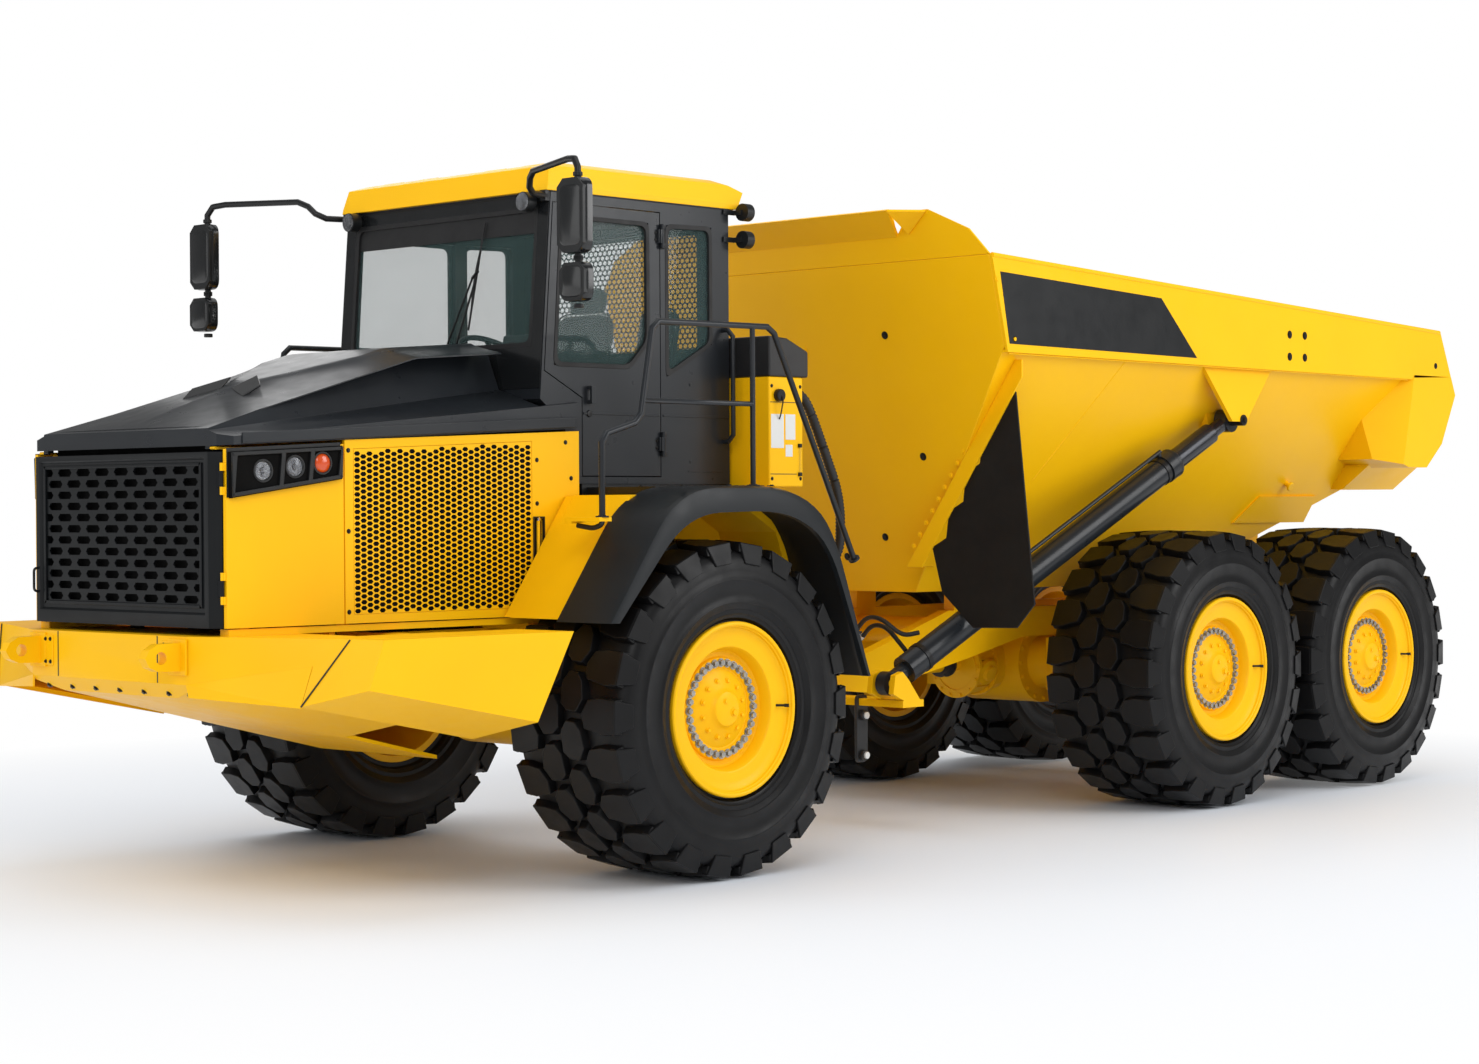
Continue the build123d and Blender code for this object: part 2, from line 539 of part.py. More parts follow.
def cab_door():
    """Left cab door with its window opening, handle and hinge arms."""
    panel = side_plate(DOOR_OUTLINE, CAB_HALF - 38, CAB_HALF)
    panel = panel - side_plate(DOOR_PANE, CAB_HALF - 60, CAB_HALF + 20)
    x, y = DOOR_HINGE
    pieces = [panel]
    for z in (2360, 3560):
        pieces.append(rod((x, y, z), (x, y, z + 80), 12))
        pieces.append(block(CAB_HALF - 4, x, y - 30, y - 6, z, z + 80))
        pieces.append(block(CAB_HALF + 2, x + 8, y - 20, y, z, z + 80))
    pieces.append(block(CAB_HALF - 1, CAB_HALF + 40, -205, -175, 2700, 2720))
    pieces.append(block(CAB_HALF - 1, CAB_HALF + 40, -205, -175, 2620, 2640))
    pieces.append(block(CAB_HALF + 25, CAB_HALF + 40, -205, -175, 2620, 2720))
    return joined(*pieces)


def door_glass():
    """Pane of the cab door."""
    return side_plate(DOOR_PANE, CAB_HALF - 24, CAB_HALF - 16)


def cab_hinges():
    """Hinge ears on the door pillar, above and below each door knuckle."""
    x, y = DOOR_HINGE
    ears = []
    for z in (2360, 3560):
        for z0, z1 in ((z - 30, z - GAP), (z + 80 + GAP, z + 110)):
            ears.append(joined(block(CAB_HALF - 2, x, y - 4, y + 30, z0, z1), rod((x, y, z0), (x, y, z1), 12)))
    return ears


def cab_roof():
    """Yellow roof cap: a shallow crowned lid with a lip over the windows."""
    half = CAB_HALF + 10
    body = trimmed(block(-half, half, -520, 1085, CAB_TOP, 4100), (
        ((0, -490, 3935), (0, -0.30, 1)),
        ((0, 200, ROOF_TOP), (0, 0.0, 1)),
        ((0, 874, ROOF_TOP), (0, 0.30, 1)),
        ((half - 30, 0, 3945), (0.5, 0, 1)),
        ((-half + 30, 0, 3945), (-0.5, 0, 1)),
        ((0, -510, CAB_TOP), (0, -1, 0.25)),
        ((0, 1080, 3900), (0, 0.6, -0.4)),
        ((half, 0, 3830), (1, 0, 0.2)),
        ((-half, 0, 3830), (-1, 0, 0.2)),
    ))
    return body - block(-half + 40, half - 40, -440, 900, 3700, 3900)


def cab_base():
    """Black tray under the cab with the cowl ahead of it and the deck behind."""
    tray = block(-CAB_HALF + 10, CAB_HALF - 10, -240, 975, BASE_LOW, CAB_FLOOR)
    cowl = side_plate([(-560, BASE_LOW), (-560, 2480), (-384, 2480), (-305, CAB_FLOOR), (-239, CAB_FLOOR),
                       (-239, BASE_LOW)], -CAB_HALF + 140, CAB_HALF - 140)
    decks = both(block(CAB_HALF - 11, FENDER_X0, -200, 300, 2110, 2150))
    wells = both(block(CAB_HALF - 11, CAB_HALF + 8, -200, 940, BASE_LOW, 2150))
    shelf = both(block(CAB_HALF - 11, CAB_HALF + 110, 500, 1200, 2110, 2150))
    return joined(tray, cowl, decks, wells, shelf)


def seat_at(x, y, width):
    """Seat on a pedestal: base, cushion and a leaned back."""
    base = block(x - 150, x + 150, y - 140, y + 160, CAB_FLOOR + WALL, 2560)
    cushion = block(x - width / 2, x + width / 2, y - 240, y + 260, 2559, 2680)
    back = side_plate([(y + 170, 2660), (y + 270, 2660), (y + 350, 3230), (y + 270, 3240)],
                      x - width / 2, x + width / 2)
    return joined(base, cushion, back)


def seats():
    """Driver's seat and the narrow trainer's seat beside it."""
    return group(seat_at(0, 330, 520), seat_at(560, 420, 330))


def controls():
    """Dashboard, steering column, steering wheel and side console."""
    dash = side_plate([(-240, CAB_FLOOR + WALL), (-300, 2500), (-395, 2600), (-465, 2780), (-465, 2800), (-330, 2850),
                       (-210, 2740), (-180, CAB_FLOOR + WALL)], -620, 620)
    column = rod((0, -230, 2700), (0, -105, 2915), 40)
    centre = Plane(origin=(0, -100, 2922), z_dir=(0, 0.5, 0.86))
    wheel = Solid.make_torus(215, 16, centre)
    hub = Solid.make_cylinder(50, 30, centre.offset(-15))
    spokes = [centre * Pos(math.cos(a) * 110, math.sin(a) * 110, 0) * Rot(0, 0, math.degrees(a)) * Box(200, 30, 14)
              for a in (math.radians(90), math.radians(210), math.radians(330))]
    console = block(-560, -330, 0, 500, CAB_FLOOR + WALL, 2700)
    return group(joined(dash, column, hub, wheel, *spokes), console)


def work_lamps():
    """Round lamps under the roof's front corners and beside the cab's rear pillars."""
    x, y, z = 775, -510, 3740
    front = rod((x, y, z), (x, y - 60, z), 55) + block(x - 15, x + 15, y - 10, -478, z - 15, z + 15)
    lamps = [both(front + rod((x, -494, z), (x, -494, CAB_TOP), 10))]
    x, y = CAB_HALF + 68, CAB_REAR + 45
    for z in (3780, 3618):
        bar = block(CAB_HALF, CAB_HALF + 12, CAB_REAR - 50, y + 5, z - 15, z + 15)
        bar = bar + block(CAB_HALF, x, y - 10, y + 5, z - 15, z + 15)
        lamps.append(both(bar + rod((x, y, z), (x, y + 60, z), 52)))
    return group(*lamps)


MIRROR_X, MIRROR_Y = 1645.0, -977.0


def mirrors():
    """Mirror arms from the roof's front corners, each with a tall and a small head."""
    arm = pipe([(875, -480, 3770), (930, -660, 3770), (1010, -720, 3870), (1560, -930, 3880),
                (MIRROR_X, -960, 3860), (MIRROR_X, -960, 3130)], 18, 40)
    foot = block(852, 898, -510, -477, 3742, CAB_TOP)
    big = Pos(MIRROR_X, -985, 3566) * Box(200, 70, 390)
    small = Pos(MIRROR_X + 10, -985, 3218) * Box(190, 70, 200)
    big = chamfer(big.edges().filter_by(Axis.Y), 45)
    small = chamfer(small.edges().filter_by(Axis.Y), 40)
    return both(joined(arm, foot, big, small))


FENDER_OUTER = ((-945, 1430), (-430, 2150), (470, 2150), (800, 1960), (1135, 1060))
FENDER_INNER = ((1090, 1060), (755, 1850), (400, 2015), (-370, 2000), (-880, 1430))
FENDER_HOLLOW = ((1080, 1000), (1105, 1060), (780, 1920), (455, 2105), (-405, 2105), (-915, 1430), (-900, 1380))
FENDER_SUPPORT = 40.0      # thickness of the plate that carries a fender


def fenders():
    """Moulded fender arches over the front wheels, hollow behind their outer lips."""
    arch = side_plate(FENDER_OUTER + FENDER_INNER, FENDER_X0, FENDER_X1)
    hollow = side_plate(FENDER_HOLLOW, FENDER_X0 - 10, FENDER_X1 - 60)
    return both(arch - hollow)


def fender_liners():
    """Yellow inner arches that carry the fenders from the cab's base."""
    outer = ((-880, 1440), (-404, 2104.6), (454.6, 2104.6), (778.6, 1919), (1000, 1330))
    inner = ((960, 1330), (745, 1890), (430, 2065), (-390, 2065), (-835, 1440))
    arch = side_plate(outer + inner, CAB_HALF + 100, FENDER_X0 + 20)
    wall = side_plate([(-870, 1442), (-410, 2100), (445, 2100), (770, 1910), (990, 1340)],
                      CAB_HALF + 42, CAB_HALF + 102)
    tie = block(CAB_HALF + 9, CAB_HALF + 50, -200, 400, 2080, 2100)
    wheel_space = rod((800, 0, AXIS_Z), (1600, 0, AXIS_Z), WHEEL_R + 30)
    foot = side_plate([(-830, 1950), (-830, 1984), (-470, 1984), (-470, 1970)], 1380, FENDER_X0 - 2)
    foot = foot + block(1380, RAIL_X + 25, -830, -740, 1962, 1984)
    return both(((arch + wall + tie) - wheel_space) + foot)


BOX_X0, BOX_X1 = CAB_HALF - 60, 1200.0
BOX_REAR = 1270.0


def tank_boxes():
    """Yellow service boxes behind the cab, standing on the base's rear deck."""
    outline = [(CAB_REAR + 26, 2150), (CAB_REAR + 26, 2800), (BOX_REAR, 2800), (BOX_REAR, 2150)]
    return both(side_plate(outline, BOX_X0, BOX_X1))


def tank_covers():
    """Dark sloping covers over the service boxes."""
    rear = BOX_REAR + 45
    outline = [(CAB_REAR + 24, 2800), (CAB_REAR + 24, 3040), (1130, 3030), (rear, 2955), (rear, 2800)]
    return both(side_plate(outline, BOX_X0, BOX_X1 + 6))


RAIL_X = 1630.0


def handrails():
    """Tube rails round the decks beside the cab, and a grab bar on each rear pillar."""
    top = [(RAIL_X, -785, 1985), (RAIL_X, -785, 2420), (RAIL_X, -500, 2500), (RAIL_X, -400, 3040),
           (RAIL_X, 540, 3048), (RAIL_X, 1230, 1730)]
    rail = pipe(top, RAIL_TUBE, 40)
    post = rod((RAIL_X, 380, 2150), (RAIL_X, 380, 3046), RAIL_TUBE - 2)
    middle = rod((RAIL_X, -480, 2610), (RAIL_X, 380, 2610), RAIL_TUBE - 3)
    grab = pipe([(CAB_HALF, 900, 3080), (CAB_HALF + 80, 900, 3080), (CAB_HALF + 80, 900, 2420),
                 (CAB_HALF, 900, 2420)], RAIL_TUBE - 3, 40)
    return both(joined(rail, post, middle)), both(grab)


# ---------------------------------------------------------------- hitch and rear frame
HITCH_END = 2100.0         # face where the rear frame rolls on the hitch
ROLL_Z = 910.0
ROLL_R = 260.0


def steer_ears(y):
    """Upper and lower ear of a steering cylinder's pin on the left, as two flat plates."""
    x, _, z = STEER_TIP
    outline = [(100, y - 110), (x, y - 65), (x + 60, y - 40), (x + 60, y + 40), (x, y + 65), (100, y + 110)]
    return [flat_plate(outline, z0, z1) for z0, z1 in ((z + 58, z + 88), (z - 88, z - 58))]


def hitch():
    """Steering pin barrel, the roll shaft's housing and the steering cylinders' ears."""
    barrel = rod((0, PIVOT_Y, FORK_LOW + GAP), (0, PIVOT_Y, FORK_TOP - GAP), FORK_R - 10)
    neck = block(-110, 110, PIVOT_Y, HITCH_END - 50, 780, 1080)
    flange = rod((0, HITCH_END - 60, ROLL_Z), (0, HITCH_END, ROLL_Z), ROLL_R)
    ears = both(joined(*steer_ears(STEER_TIP[1]), block(100, 160, STEER_TIP[1] - 100, STEER_TIP[1] + 100,
                                                         STEER_TIP[2] - 88, STEER_TIP[2] + 88)))
    return joined(barrel, neck, flange, ears)


FRAME_HALF = 480.0
BIN_PIN = 35.0             # radius of the bin's hinge pins
BASE_EAR = 70.0            # half gap between a tipping cylinder's base ears
BALL_R, BALL_PIN, BALL_EYE = 46.0, 24.0, 36.0    # ball and pin radii, and the eye's half width


def rear_frame():
    """Rear chassis: nose flange, tapering side rails, cross tubes, axle hangers and bin hinges."""
    flange = rod((0, HITCH_END + GAP, ROLL_Z), (0, HITCH_END + 70, ROLL_Z), ROLL_R)
    neck = block(-240, 240, HITCH_END + 60, 2700, 760, 1100)
    rail = [
        (2300, 860), (2300, 960), (2600, 1060), (3500, 1330), (7000, 1330), (7260, 1300), (7260, 1125),
        (4300, 1125), (3700, 1000), (2700, 820),
    ]
    rails = both(side_plate(rail, FRAME_HALF - 90, FRAME_HALF))
    nose = block(-FRAME_HALF, FRAME_HALF, 2300, 2420, 780, 1000)
    tunnel = rod((0, HITCH_END + 60, AXIS_Z), (0, 2800, AXIS_Z), 75)
    tubes = [rod((-FRAME_HALF + 50, y, 1190), (FRAME_HALF - 50, y, 1190), 90) for y in (3600, 5740, 7100)]
    hangers = both(block(FRAME_HALF - 60, FRAME_HALF + 60, BEAM_Y - 110, BEAM_Y + 110, 900, 1140))
    pivot_y, pivot_z = TIP_PIVOT
    hinge = [(pivot_y - 260, 1290), (pivot_y - 70, pivot_z + 50), (pivot_y + 70, pivot_z + 50), (pivot_y + 200, 1290)]
    hinges = both(side_plate(hinge, FRAME_HALF - 90, FRAME_HALF - 40))
    pins = both(rod((FRAME_HALF - 95, *TIP_PIVOT), (FRAME_HALF + 28, *TIP_PIVOT), BIN_PIN))
    x, y, z = TIP_BASE
    ears = []
    for x0, x1 in ((x - BASE_EAR - 40, x - BASE_EAR), (x + BASE_EAR, x + BASE_EAR + 40)):
        ears.append(side_plate([(y - 70, z - 60), (y - 50, z + 55), (y + 20, z + 75), (y + 80, z + 20),
                                (y + 190, z - 110), (y + 40, z - 110)], x0, x1))
    ears.append(rod((x - BASE_EAR - 1, y, z), (x + BASE_EAR + 1, y, z), BALL_PIN) + ball((x, y, z), BALL_R))
    outrigger = side_plate([(y + 20, z - 150), (y + 20, z - 106), (2420, z - 106), (2420, z - 150)], 0,
                           x + BASE_EAR + 40)
    bumper_stop = both(block(FRAME_HALF - 90, FRAME_HALF, 3560, 3760, 1320, BIN_FLOOR_FRONT_Z - 1))
    tow = block(-150, 150, 7150, 7420, 1130, 1250)
    tow = tow - rod((0, 7340, 1100), (0, 7340, 1300), TOW_BORE) + block(-FRAME_HALF + 50, FRAME_HALF - 50, 7150, 7240,
                                                                         1110, 1290)
    front = joined(neck, nose) - tunnel
    return joined(flange, front, rails, *tubes, hangers, hinges, pins, both(joined(*ears, outrigger)),
                  bumper_stop, tow)


TOW_BORE = 30.0
BEAM_Y = MID_AXLE_Y + BOGIE / 2


def rear_axles():
    """Both rear axle housings, the shaft between them and the shaft forward to the hitch."""
    shaft = rod((0, MID_AXLE_Y + 280, AXIS_Z), (0, REAR_AXLE_Y - 280, AXIS_Z), 60)
    case = rod((0, MID_AXLE_Y - 620, AXIS_Z - 40), (0, MID_AXLE_Y - 200, AXIS_Z), 190)
    forward = rod((0, HITCH_END + 71, AXIS_Z), (0, MID_AXLE_Y - 600, AXIS_Z), 55)
    return joined(axle_beam(MID_AXLE_Y), axle_beam(REAR_AXLE_Y), shaft, case, forward)


def walking_beams():
    """Rocker beams that carry the two rear axles from the frame's hangers."""
    top = 900 - GAP
    outline = [
        (MID_AXLE_Y - 215, 745), (MID_AXLE_Y - 215, 1110), (MID_AXLE_Y + 215, 1110), (BEAM_Y - 250, 1000),
        (BEAM_Y - 150, top), (BEAM_Y + 150, top), (BEAM_Y + 250, 1000), (REAR_AXLE_Y - 215, 1110),
        (REAR_AXLE_Y + 215, 1110), (REAR_AXLE_Y + 215, 745), (BEAM_Y + 200, 690), (BEAM_Y - 200, 690),
    ]
    beam = side_plate(outline, FRAME_HALF + 10, FRAME_HALF + 110)
    for y in (MID_AXLE_Y, REAR_AXLE_Y):
        wide, narrow = AXLE_TAPER
        beam = beam - cone((300, y, AXIS_Z), (760, y, AXIS_Z), wide + GAP, narrow + GAP)
    return both(beam)


# ---------------------------------------------------------------- cylinders
def along(start, end, distance):
    """Point at a distance from start towards end."""
    return tuple(Vector(*start) + (Vector(*end) - Vector(*start)).normalized() * distance)


def eye(centre, half_width, radius):
    """Cylinder's eye, turned about the X axis."""
    x, y, z = centre
    return rod((x - half_width, y, z), (x + half_width, y, z), radius)


def tip_barrel():
    """Left tipping cylinder's barrel with its lower eye, gland and service pipe."""
    base, top = TIP_BASE, TIP_TOP
    end = along(base, top, TIP_BARREL_LENGTH)
    bore = rod(along(base, top, 260), along(base, top, TIP_BARREL_LENGTH + 50), TIP_STAGE + FIT)
    neck = rod(along(base, top, 30), along(base, top, 210), 52)
    barrel = joined(eye(base, BALL_EYE, 75), neck, rod(along(base, top, 160), end, TIP_BORE))
    barrel = barrel - ball(base, BALL_R + GAP) - eye(base, BASE_EAR, BALL_R * 0.62)
    gland = rod(along(base, top, TIP_BARREL_LENGTH - 90), end, TIP_BORE + 12)
    line_start = Vector(*along(base, top, 780)) + Vector(0, -62, 108)
    line_end = Vector(*along(base, top, TIP_BARREL_LENGTH - 60)) + Vector(0, -62, 108)
    line = rod(line_start, line_end, 14)
    feet = [rod(Vector(*along(base, top, d)) + Vector(0, -62, 108), along(base, top, d), 16)
            for d in (800, TIP_BARREL_LENGTH - 80)]
    return joined(barrel, gland, line, *feet) - bore


TIP_LENGTH = (Vector(*TIP_TOP) - Vector(*TIP_BASE)).length
TIP_BARREL_LENGTH = TIP_LENGTH - 620


def tip_rod():
    """Left tipping cylinder's inner stage with its rod eye."""
    base, top = TIP_BASE, TIP_TOP
    stage = rod(along(base, top, 300), along(base, top, TIP_LENGTH - 190), TIP_STAGE)
    neck = rod(along(base, top, TIP_LENGTH - 200), along(base, top, TIP_LENGTH - 20), TIP_ROD)
    return joined(stage, neck, eye(top, 48, 80))


def steer_barrel():
    """Left steering cylinder's barrel with its eye round the front pin."""
    base, tip = STEER_BASE, STEER_TIP
    x, y, z = base
    lug = rod((x, y, z - 45), (x, y, z + 45), 52)
    neck = rod(along(base, tip, 30), along(base, tip, 120), 40)
    barrel = neck + rod(along(base, tip, 100), along(base, tip, STEER_BARREL_LENGTH), 62)
    bore = rod(along(base, tip, 120), along(base, tip, STEER_BARREL_LENGTH + 20), 35 + FIT)
    return joined(lug, barrel) - bore


STEER_BARREL_LENGTH = 780.0


def steer_rod():
    """Left steering cylinder's rod with its free eye between the hitch's ears."""
    base, tip = STEER_BASE, STEER_TIP
    x, y, z = tip
    bar = rod(along(base, tip, 122 + STEER_TRAVEL), along(base, tip, (Vector(*tip) - Vector(*base)).length - 30), 35)
    return joined(bar, rod((x, y, z - 50), (x, y, z + 50), 52))


# ---------------------------------------------------------------- bin
BIN_SLOPE = (BIN_HALF - 40 - BIN_FLOOR_HALF, BIN_RIB_Z - BIN_FLOOR_FRONT_Z)    # run and rise of the sloping wall
BIN_FLOOR_BREAK, BIN_FLOOR_RISE = 5850.0, 0.42
RIM_FALL = (BIN_RIM_FRONT[1] - BIN_RIM_REAR[1]) / (BIN_RIM_REAR[0] - BIN_RIM_FRONT[0])
SHELL_HALF = BIN_HALF - 20
BIN_SIDES = (
    ((SHELL_HALF, 0, 0), (1, 0, 0)),
    ((-SHELL_HALF, 0, 0), (-1, 0, 0)),
    ((BIN_FLOOR_HALF, 0, BIN_FLOOR_FRONT_Z), (BIN_SLOPE[1], 0, -BIN_SLOPE[0])),
    ((-BIN_FLOOR_HALF, 0, BIN_FLOOR_FRONT_Z), (-BIN_SLOPE[1], 0, -BIN_SLOPE[0])),
    ((0, BIN_RIM_FRONT[0], BIN_RIM_FRONT[1]), (0, -1, -BIN_FRONT_LEAN)),
    ((0, 0, BIN_FLOOR_FRONT_Z), (0, 0, -1)),
    ((0, BIN_FLOOR_BREAK, BIN_FLOOR_FRONT_Z), (0, BIN_FLOOR_RISE, -1)),
)
BIN_ENDS = (
    ((0, BIN_RIM_FRONT[0], BIN_RIM_FRONT[1]), (0, RIM_FALL, 1)),
    ((0, REAR_REACH, 2850), (0, 470, 220)),
    ((0, REAR_REACH, 2850), (0, 1, -0.45)),
)


def bin_shell():
    """Load body: floor, sloping sides and headboard as one folded shell, open above and behind."""
    blank = block(-2000, 2000, 2000, 8500, 1300, 3700)
    outer = trimmed(blank, BIN_SIDES + BIN_ENDS)
    inner = trimmed(block(-2000, 2000, 2000, 8600, 1300, 3900), BIN_SIDES, BIN_WALL)
    return outer - inner


def bin_space():
    """The space inside the bin's outer faces, taken from what is welded on outside."""
    return trimmed(block(-2000, 2000, 2000, 8600, 1300, 3900), BIN_SIDES)


def wall_x(z):
    """Outer face of the sloping side wall at a height."""
    return BIN_FLOOR_HALF + (z - BIN_FLOOR_FRONT_Z) * BIN_SLOPE[0] / BIN_SLOPE[1]


def rim_z(y):
    """Height of the side wall's top edge at a distance from the front axle."""
    return BIN_RIM_FRONT[1] - (y - BIN_RIM_FRONT[0]) * RIM_FALL


def bin_frame():
    """Side bands, rear posts, pin gussets and hinge brackets, welded to the bin's outside."""
    band_low = BIN_RIB_Z
    band = side_plate([(2572, band_low), (2421, rim_z(2421)), (7830, rim_z(7830)), (7985, 2985), (7420, band_low - 25)],
                      SHELL_HALF, BIN_HALF)
    lip = side_plate([(2575, band_low - 12), (2572, band_low + 4), (7420, band_low - 21), (7420, band_low - 37)],
                     SHELL_HALF - 60, BIN_HALF) - bin_space()
    x, y, z = TIP_TOP
    gusset = side_plate([(y - 500, band_low), (y + 370, band_low - 5), (y + 40, z - 10), (y - 130, z - 10)],
                        x + 110, x + 140)
    web = block(wall_x(z) - 30, x + 111, y + 110, y + 140, z + 150, 2950)
    inner_ear = side_plate([(y - 160, z + 190), (y + 160, z + 190), (y + 110, z - 60), (y - 100, z - 60)],
                           wall_x(z) - 60, x - 75)
    gusset_box = joined(gusset, web, inner_ear) - bin_space()
    tail_planes = (((0, REAR_REACH, 2850), (0, 470, 220)), ((0, REAR_REACH, 2850), (0, 1, -0.55)))
    post = trimmed(block(1000, BIN_HALF, 7150, REAR_REACH, 2300, 2985), tail_planes + (
        ((BIN_HALF, 7440, 2960), (0.80, -1.0, 0.24)),
        ((0, 7330, 2310), (0, -0.28, -1)),
        ((BIN_HALF, 7860, 2490), (0, 0.62, -0.78)),
    )) - bin_space()
    chute = trimmed(block(0, 1560, 7290, 8020, 2140, 2560), (
        ((1200, 0, 2140), (0.62, 0, -0.78)), ((0, 8020, 2200), (0, 1, 0.0))))
    chute = chute - bin_space()
    pivot_y, pivot_z = TIP_PIVOT
    bracket = side_plate([(pivot_y - 850, 1820), (pivot_y + 200, 2060), (pivot_y + 120, pivot_z - 60),
                          (pivot_y - 120, pivot_z - 60)], FRAME_HALF - 40 + GAP, FRAME_HALF + 20)
    bracket = bracket - bin_space() - rod((0, *TIP_PIVOT), (1000, *TIP_PIVOT), BIN_PIN + FIT)
    knee = side_plate([(pivot_y - 850, 1895), (pivot_y - 700, 2090), (pivot_y + 70, 2090), (pivot_y + 100, 1895)],
                      wall_x(1890), wall_x(2090) + 22)
    knee = trimmed(knee, (((BIN_FLOOR_HALF + 16, 0, BIN_FLOOR_FRONT_Z), (BIN_SLOPE[1], 0, -BIN_SLOPE[0])),))
    knee = knee - bin_space()
    return group(both(joined(band, lip)), both(gusset_box), both(joined(post, chute)), both(bracket), both(knee))


def spill_guard():
    """Forward-leaning guard along the headboard's top with its raised corners."""
    top = BIN_RIM_FRONT[1]
    y = BIN_RIM_FRONT[0]
    t = 16
    lean = BIN_FRONT_LEAN
    height, depth = BIN_RIM_FRONT[1], BIN_RIM_FRONT[0]
    fold_z = height + 162
    fold_y = depth - 162 * lean
    outline = [(-BIN_HALF + 20, height), (BIN_HALF - 20, height), (1570, fold_z), (1270, 3875), (1130, 3875),
               (1000, fold_z), (-1000, fold_z), (-1130, 3875), (-1270, 3875), (-1570, fold_z)]
    sheet = trimmed(cross_plate(outline, 2000, 3300), (
        ((0, depth, height), (0, -1, -lean)), ((0, depth + BIN_WALL, height), (0, 1, lean))))
    hood = side_plate([(fold_y, fold_z - 14), (fold_y + 16, fold_z), (2166, 3874), (2150, 3866)], -1130, 1130)
    hood = trimmed(hood, (((1000, fold_y, fold_z), (1, 0.2, -0.5)), ((-1000, fold_y, fold_z), (-1, 0.2, -0.5))))
    web = side_plate([(fold_y, fold_z - 10), (2160, 3868), (2335, 3868)], 1000, 1014)
    return joined(sheet, hood, both(Pos(-14, 0, 0) * web))


FLAP_Y = 2750.0
FLAP_OUTLINE = (
    (1560, 2780), (1640, 2740), (1780, 1420), (1640, 1270), (1290, 1262), (1040, 1480), (960, 1770), (1075, 1830),
    (1100, 2000), (1215, 2060), (1240, 2240), (1350, 2300), (1380, 2470), (1490, 2560),
)


def flaps():
    """Rubber spray flaps with scalloped inner edges, bolted beside the headboard."""
    return both(cross_plate(FLAP_OUTLINE, FLAP_Y, FLAP_Y + 14))


def flap_ledges():
    """Ledge plates along the headboard's slanting edges that carry the flaps."""
    beside = (BIN_SLOPE[1], 0, -BIN_SLOPE[0])
    flange = trimmed(block(700, 1700, FLAP_Y - 14, FLAP_Y - SEAT, 1640, 2940), (
        ((BIN_FLOOR_HALF + 130, 0, BIN_FLOOR_FRONT_Z), beside),
        ((BIN_FLOOR_HALF, 0, BIN_FLOOR_FRONT_Z), tuple(-value for value in beside))))
    web = trimmed(block(600, 1700, FLAP_Y - 14, 3100, 1640, 2940), (
        ((BIN_FLOOR_HALF + 14, 0, BIN_FLOOR_FRONT_Z), beside),
        ((BIN_FLOOR_HALF, 0, BIN_FLOOR_FRONT_Z), tuple(-value for value in beside)),
        ((0, BIN_RIM_FRONT[0] + 90, BIN_RIM_FRONT[1]), (0, 1, BIN_FRONT_LEAN))))
    return both(joined(flange, web) - bin_space())


# ---------------------------------------------------------------- output
def main():
    """Build every node and write it."""
    os.makedirs("parts", exist_ok=True)
    rails, grabs = handrails()
    nodes = {
        "front_frame": front_frame(), "front_axle": front_axle(), "bumper": bumper(),
        "engine_block": engine_block(), "radiator": radiator(), "nose_panels": nose_panels(),
        "lamp_pods": lamp_pods(), "grille_door": grille_door(), "hood": hood(),
        "side_panels": side_panels(),
        "cab_shell": joined(cab_shell(), *cab_hinges()), "cab_glass": cab_glass(), "cab_roof": cab_roof(),
        "cab_base": cab_base(), "cab_door": cab_door(), "door_glass": door_glass(), "seats": seats(),
        "controls": controls(), "work_lamps": work_lamps(),
        "mirrors": mirrors(), "fenders": fenders(), "fender_liners": fender_liners(),
        "tank_boxes": tank_boxes(), "tank_covers": tank_covers(), "handrails": group(rails, grabs),
        "hitch": hitch(), "rear_frame": rear_frame(), "rear_axles": rear_axles(),
        "walking_beams": walking_beams(), "tip_barrel_left": tip_barrel(), "tip_rod_left": tip_rod(),
        "steer_barrel_left": steer_barrel(), "steer_rod_left": steer_rod(), "bin_shell": bin_shell(),
        "bin_frame": bin_frame(), "spill_guard": spill_guard(), "flaps": flaps(), "flap_ledges": flap_ledges(),
    }
    for name in ("tip_barrel", "tip_rod", "steer_barrel", "steer_rod"):
        nodes[f"{name}_right"] = mirrored(nodes[f"{name}_left"])
    for end, y in (("front", 0.0), ("middle", MID_AXLE_Y), ("rear", REAR_AXLE_Y)):
        for side, sign in (("left", 1), ("right", -1)):
            nodes[f"tyre_{end}_{side}"] = tyre(sign * TRACK_HALF, y)
            nodes[f"rim_{end}_{side}"] = rim(sign * TRACK_HALF, y, sign)
    for name, shape in nodes.items():
        out(name, shape)
        print(name, [round(solid.volume / 1e9, 4) for solid in shape.solids()], shape.is_valid)


main()
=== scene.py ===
"""Visual model of an articulated dump truck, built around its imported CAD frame.

Metres, in the frame's own axes. Most sizes below are given from the front axle on the ground,
with the front facing -Y and the driver's left on +X; station() moves them to the frame's origin.
"""
import json
import logging
import math
from dataclasses import dataclass, field
from enum import Enum
from typing import Callable, Iterable, Sequence

import bmesh
import bpy
from mathutils import Matrix, Vector


